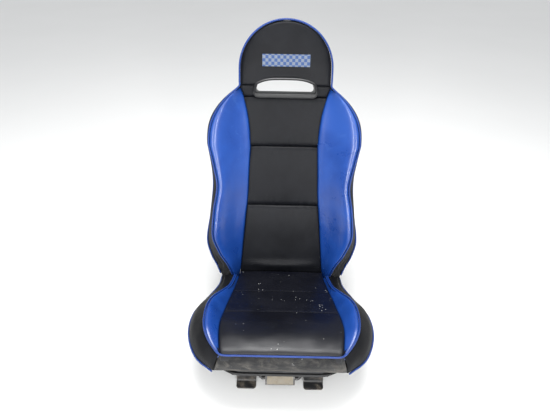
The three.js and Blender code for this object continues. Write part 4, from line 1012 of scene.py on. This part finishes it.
# ---------- moulded shell behind the back ----------
def shell_point(u, s, shrink):
    """u = 0..1 round the back from the right edge to the left edge."""
    a = math.pi * u
    half = max(outer_half(s) - shrink, 0.002)
    deep = max(shell_depth(s) * min(1.0, outer_half(s) / 0.060) - shrink, 0.0015)
    wide = math.copysign(abs(math.cos(a)) ** 0.72, math.cos(a))
    field = smooth((0.125 - abs(half * wide)) / 0.030)
    field *= smooth((s - 0.19) / 0.035) * smooth((0.575 - s) / 0.035)
    rib = smooth((0.010 - abs(abs(half * wide) - 0.052)) / 0.006) * field
    deep_here = deep * math.sin(a) ** 0.72 - 0.0032 * field * (1 - rib)
    return on_back(half * wide, s, -deep_here)


def shell_rows():
    rows = flat_stations(-0.058, 0.60, 66)[:-1] + flat_stations(0.60, HEAD_CENTRE_S, 14)[:-1]
    rows += [HEAD_CENTRE_S + (HEAD_RADIUS - 0.0012) * math.sin(math.pi / 2 * k / 26) for k in range(27)]
    return rows


def cut_from(obj, cutters):
    """Takes the cutter meshes out of a piece, and leaves one finished mesh."""
    for cutter in cutters:
        modifier = obj.modifiers.new("cut", "BOOLEAN")
        modifier.operation = "DIFFERENCE"
        modifier.solver = "EXACT"
        modifier.object = cutter
    bpy.context.view_layer.update()
    done = bpy.data.meshes.new_from_object(obj.evaluated_get(bpy.context.evaluated_depsgraph_get()))
    obj.modifiers.clear()
    obj.data = done
    for cutter in cutters:
        bpy.data.objects.remove(cutter)


def loose(name, verts, faces):
    mesh = bpy.data.meshes.new(name)
    mesh.from_pydata([tuple(v) for v in verts], [], faces)
    made = bmesh.new()
    made.from_mesh(mesh)
    bmesh.ops.recalc_face_normals(made, faces=made.faces)
    made.to_mesh(mesh)
    made.free()
    obj = bpy.data.objects.new(name, mesh)
    bpy.context.scene.collection.objects.link(obj)
    return obj


rows = shell_rows()
top_row = len(rows) - 1
shell = piece("back_shell_moulding",
    *padded_form(lambda u, v: shell_point(u, rows[round(v * top_row)], 0.0),
        lambda u, v: shell_point(u, rows[round(v * top_row)] - 0.001 * (v > 0.9) * 3,
            0.0042), 72, top_row),
    "seat", "moulded_plastic", ["back_shell"], 40)
hole_loop = slot_loop()
hole_verts = [on_back(p.x + away.x * 0.0052, p.y + away.y * 0.0052, n) for n in (-0.15, 0.06)
    for p, away in hole_loop]
n = len(hole_loop)
hole_faces = [tuple(range(n)), tuple(range(2 * n - 1, n - 1, -1))] + [(i, (i + 1) % n, (i + 1) % n + n,
    i + n) for i in range(n)]
foot_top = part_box("back_shell")[0].z
foot = [Vector((x, y, z)) for z in (-0.1, foot_top)
    for x, y in ((-0.5, -0.2), (0.5, -0.2), (0.5, 0.5), (-0.5, 0.5))]
foot_faces = [(3, 2, 1, 0), (4, 5, 6, 7), (0, 1, 5, 4), (1, 2, 6, 5), (2, 3, 7, 6), (3, 0, 4, 7)]
cut_from(shell, [loose("slot_cutter", hole_verts, hole_faces), loose("foot_cutter", foot, foot_faces)])


# ---------- pieces that keep the shape of the frame, with broken edges ----------
def softened(node, width, node_slot, body, segments=2, sharp=28, subdivided=0):
    """The same piece with its edges rounded over by width."""
    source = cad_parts[node].data
    made = bmesh.new()
    made.from_mesh(source)
    bmesh.ops.remove_doubles(made, verts=made.verts, dist=2e-5)
    bmesh.ops.dissolve_limit(made, angle_limit=math.radians(3), verts=made.verts, edges=made.edges)
    edges = [e for e in made.edges if len(e.link_faces) == 2 and e.calc_face_angle(0) > math.radians(sharp)]
    if width > 0:
        bmesh.ops.bevel(made, geom=edges, offset=width, segments=segments, profile=0.6, affect="EDGES",
            clamp_overlap=True)
    bmesh.ops.triangulate(made, faces=[f for f in made.faces if len(f.verts) > 4])
    mesh = bpy.data.meshes.new(node + "_finished")
    made.to_mesh(mesh)
    made.free()
    obj = bpy.data.objects.new(node + "_finished", mesh)
    bpy.context.scene.collection.objects.link(obj)
    mesh.polygons.foreach_set("use_smooth", [True] * len(mesh.polygons))
    mesh.set_sharp_from_angle(angle=math.radians(35))
    mesh.materials.clear()
    mesh.materials.append(finish_of[node_slot])
    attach(obj, body)
    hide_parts(node)
    return obj


for side in ("left", "right"):
    softened("floor_hook_" + side, 0.0011, "black_steel", "base", 3)
    softened("end_flange_" + side, 0.0007, "black_steel", "base")
    softened("latch_ear_" + side, 0.0004, "black_steel", "base")
    softened("lower_rail_" + side, 0.0008, "zinc_steel", "base")
    softened("upper_rail_" + side, 0.0008, "zinc_steel", "seat")
    softened("roller_cage_" + side, 0.0003, "nylon", "cage_" + side)
    softened("handle_pin_" + side, 0.0003, "zinc_steel", "seat")
    softened("seat_bolt_front_" + side, 0.0005, "zinc_steel", "seat")
    softened("seat_bolt_rear_" + side, 0.0005, "zinc_steel", "seat")
    softened("frame_side_plate_" + side, 0.0008, "black_steel", "seat")
softened("front_cross_member", 0.0009, "black_steel", "base", 3)
softened("rear_cross_member", 0.0009, "black_steel", "base", 3)
softened("latch_lever", 0.0007, "black_steel", "latch")
softened("latch_pin", 0.0004, "zinc_steel", "base")
softened("adjuster_grip", 0.0006, "black_steel", "adjuster")
softened("blank_label", 0.0002, "blank_label", "adjuster", 1)
for node in ("back_foam", "cushion_foam"):
    made = softened(node, 0.0040, "foam", "seat", 3, 25)


# ---------- moulded pan under the cushion ----------
pan_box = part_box("cushion_pan")
PAN_FLOOR = pan_box[0].z
pan_half = flowing((-0.291, 0.182), (-0.245, 0.214), (-0.190, 0.238), (-0.120, 0.234), (-0.060, 0.224),
    (0.0, 0.204),
    (0.040, 0.1875), (0.140, 0.1875))


def flange_at(y):
    """How wide and how high the pan's rim stands: it follows the side covers' lower edge."""
    near = min(OUTER_LINE, key=lambda p: abs(p.y - y))
    beside = 1 - smooth((y - 0.0) / 0.046)
    wide = mix(pan_half(y), max(pan_half(y), near.x - 0.005), beside)
    return wide, mix(0.132, max(0.130, near.z - 0.006), beside)


def pan_point(u, y, shrink):
    half = pan_half(y) - shrink
    wide, rim = flange_at(y)
    wide -= shrink
    corners = [(-wide, rim), (-half, 0.122), (-half + 0.046, PAN_FLOOR + shrink),
        (half - 0.046, PAN_FLOOR + shrink),
        (half, 0.122), (wide, rim)]
    shares = (0.0, 0.16, 0.32, 0.68, 0.84, 1.0)
    for i in range(5):
        if u <= shares[i + 1]:
            t = (u - shares[i]) / (shares[i + 1] - shares[i])
            return mix(corners[i][0], corners[i + 1][0], t), mix(corners[i][1], corners[i + 1][1], t)
    return corners[5]


def pan_face(u, v, shrink):
    y = mix(-0.287 + shrink, 0.136 - shrink, v)
    x = z = 0.0
    for k in (-0.03, -0.015, 0.0, 0.015, 0.03):
        px, pz = pan_point(clamp(u + k), y, shrink)
        x, z = x + px / 5, z + pz / 5
    rib = 0.0
    if abs(x) < 0.16:
        rib = 0.0022 * smooth((0.0045 - abs((abs(x) % 0.050) - 0.025)) / 0.002)
        rib *= smooth((0.10 - abs(v - 0.5) * 0.25) / 0.02)
    return at(x, y, z + (rib if shrink == 0 else 0.0))


piece("cushion_pan_moulding", *padded_form(lambda u, v: pan_face(u, v, 0.0),
    lambda u, v: pan_face(u, v, 0.004), 120, 60), "seat",
    "moulded_plastic", ["cushion_pan"], 40)


# ---------- round bars: handle, frame tube and spring ----------
def handle_points():
    half = [(0.075, -0.162, 0.070), (0.075, -0.184, 0.070), (0.075, -0.204, 0.069), (0.072, -0.238, 0.058),
        (0.065, -0.260, 0.057), (0.055, -0.268, 0.050), (0.048, -0.268, 0.050), (0.036, -0.268, 0.050)]
    points = [at(-x, y, z) for x, y, z in half]
    return points + [at(x, y, z) for x, y, z in reversed(half)]


rod("handle_bar", handle_points(), 0.005, 150, "adjuster", "black_steel", ["adjuster_bar"], sides=20)


def hoop_points():
    half = [(0.176, -0.030, -0.034), (0.172, 0.120, -0.034), (0.156, 0.320, -0.030), (0.154, 0.500, -0.028),
        (0.128, 0.569, -0.026), (0.084, 0.585, -0.026)]
    return [on_back(-x, s, n) for x, s, n in half] + [on_back(x, s, n) for x, s, n in reversed(half)]


rod("frame_hoop_tube", hoop_points(), 0.0125, 120, "seat", "black_steel", ["back_frame_hoop"], sides=20)

spring_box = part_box("latch_spring")
spring_y = (spring_box[0].y + spring_box[1].y) / 2
spring_z = (spring_box[0].z + spring_box[1].z) / 2
spring_radius = (spring_box[1].z - spring_box[0].z) / 2 - 0.00085
coil = []
for k in range(73):
    turn = 2 * math.pi * 3 * k / 72
    coil.append(Vector((mix(spring_box[0].x + 0.00085, spring_box[1].x - 0.00085, k / 72),
        spring_y + spring_radius * math.cos(turn),
        spring_z + spring_radius * math.sin(turn))))
rod("latch_return_spring", coil, 0.00085, 150, "base", "spring_steel", ["latch_spring"], sides=8)


# ---------- headrest patch ----------
patch_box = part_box("headrest_patch")
patch_half = (patch_box[1].x - patch_box[0].x) / 2
patch_mid = (patch_box[0] + patch_box[1]) / 2
PATCH_S = (patch_mid.y - CREASE_Y) * math.sin(LEAN) + (patch_mid.z - CREASE_Z) * math.cos(LEAN)
PATCH_HEIGHT = (patch_box[1].z - patch_box[0].z) / math.cos(LEAN) / 2


def patch_point(u, v, lift):
    x = (2 * u - 1) * patch_half
    s = PATCH_S + (2 * v - 1) * PATCH_HEIGHT
    radius = math.hypot(x, s - HEAD_CENTRE_S)
    crown = 0.0105 * math.sqrt(1 - (1 - clamp((HEAD_RADIUS - 0.003 - radius) / 0.120)) ** 2)
    edge = soft_min(patch_half - abs(x) + 0.0005, PATCH_HEIGHT - abs(s - PATCH_S) + 0.0005, width=0.001)
    return on_back(x, s, NECK_EDGE_N + crown + lift + (tuck(edge, 0.0012) if lift > 0.001 else 0.0))


piece("headrest_stitched_patch", *padded_form(lambda u, v: patch_point(u, v, 0.0016),
    lambda u, v: patch_point(u, v, -0.0004), 80, 18),
    "seat", "patch_fabric", ["headrest_patch"], 60)


# ---------- floor, light and camera ----------
floor_mesh = bpy.data.meshes.new("floor")
floor_mesh.from_pydata([(-14, -6, 0), (14, -6, 0), (14, 26, 0), (-14, 26, 0)], [], [(0, 1, 2, 3)])
floor = bpy.data.objects.new("floor", floor_mesh)
bpy.context.scene.collection.objects.link(floor)
paper, paper_tree, paper_shader = new_finish("pale_floor", Roughness=0.9)
paper_tone = noise_node(paper_tree, place_node(paper_tree), 1.4, 3.0)
link(paper_tree, colour_mix(paper_tree, paper_tone, (0.80, 0.80, 0.79), (0.84, 0.84, 0.83)),
    paper_shader.inputs["Base Color"])
floor_mesh.materials.append(paper)

world = bpy.data.worlds.new("soft_room")
bpy.context.scene.world = world
world.use_nodes = True
world.node_tree.nodes["Background"].inputs[0].default_value = (0.93, 0.96, 1.0, 1.0)
world.node_tree.nodes["Background"].inputs[1].default_value = 0.38


def soft_light(name, place, target, size, power, tint=(1, 1, 1)):
    data = bpy.data.lights.new(name, "AREA")
    data.shape = "RECTANGLE"
    data.size, data.size_y = size
    data.energy = power
    data.color = tint
    lamp = bpy.data.objects.new(name, data)
    bpy.context.scene.collection.objects.link(lamp)
    lamp.location = place
    lamp.rotation_mode = "QUATERNION"
    lamp.rotation_quaternion = (Vector(target) - Vector(place)).to_track_quat("-Z", "Y")


soft_light("overhead", (0.0, 0.1, 2.7), (0, 0, 0.3), (1.5, 0.9), 62)
soft_light("left_window", (-0.72, -2.6, 0.95), (-0.2, 0, 0.6), (0.12, 1.5), 34)
soft_light("right_window", (0.72, -2.6, 0.95), (0.2, 0, 0.6), (0.12, 1.5), 34)
soft_light("front_fill", (0.0, -2.6, 2.6), (0, 0, 0.4), (2.6, 1.2), 30)
sun_data = bpy.data.lights.new("even_daylight", "SUN")
sun_data.energy = 1.3
sun_data.angle = math.radians(70)
sun = bpy.data.objects.new("even_daylight", sun_data)
bpy.context.scene.collection.objects.link(sun)
sun.rotation_euler = (math.radians(18), 0, 0)

camera_data = bpy.data.cameras.new("camera")
camera_data.lens = 29.14
camera_data.sensor_width = 36
camera = bpy.data.objects.new("camera", camera_data)
bpy.context.scene.collection.objects.link(camera)
heading, pitch, roll = math.radians(0.13), math.radians(34.91), 0.0184
forward = Vector((-math.sin(heading) * math.cos(pitch), math.cos(heading) * math.cos(pitch),
    -math.sin(pitch)))
level = Vector((math.cos(heading), math.sin(heading), 0))
above = level.cross(forward)
right = level * math.cos(roll) + above * math.sin(roll)
up = above * math.cos(roll) - level * math.sin(roll)
camera.matrix_world = Matrix((
    (right.x, up.x, -forward.x, -0.0235),
    (right.y, up.y, -forward.y, -1.1215),
    (right.z, up.z, -forward.z, 1.2749),
    (0, 0, 0, 1)))
bpy.context.scene.camera = camera
bpy.context.scene.view_settings.view_transform = "Standard"
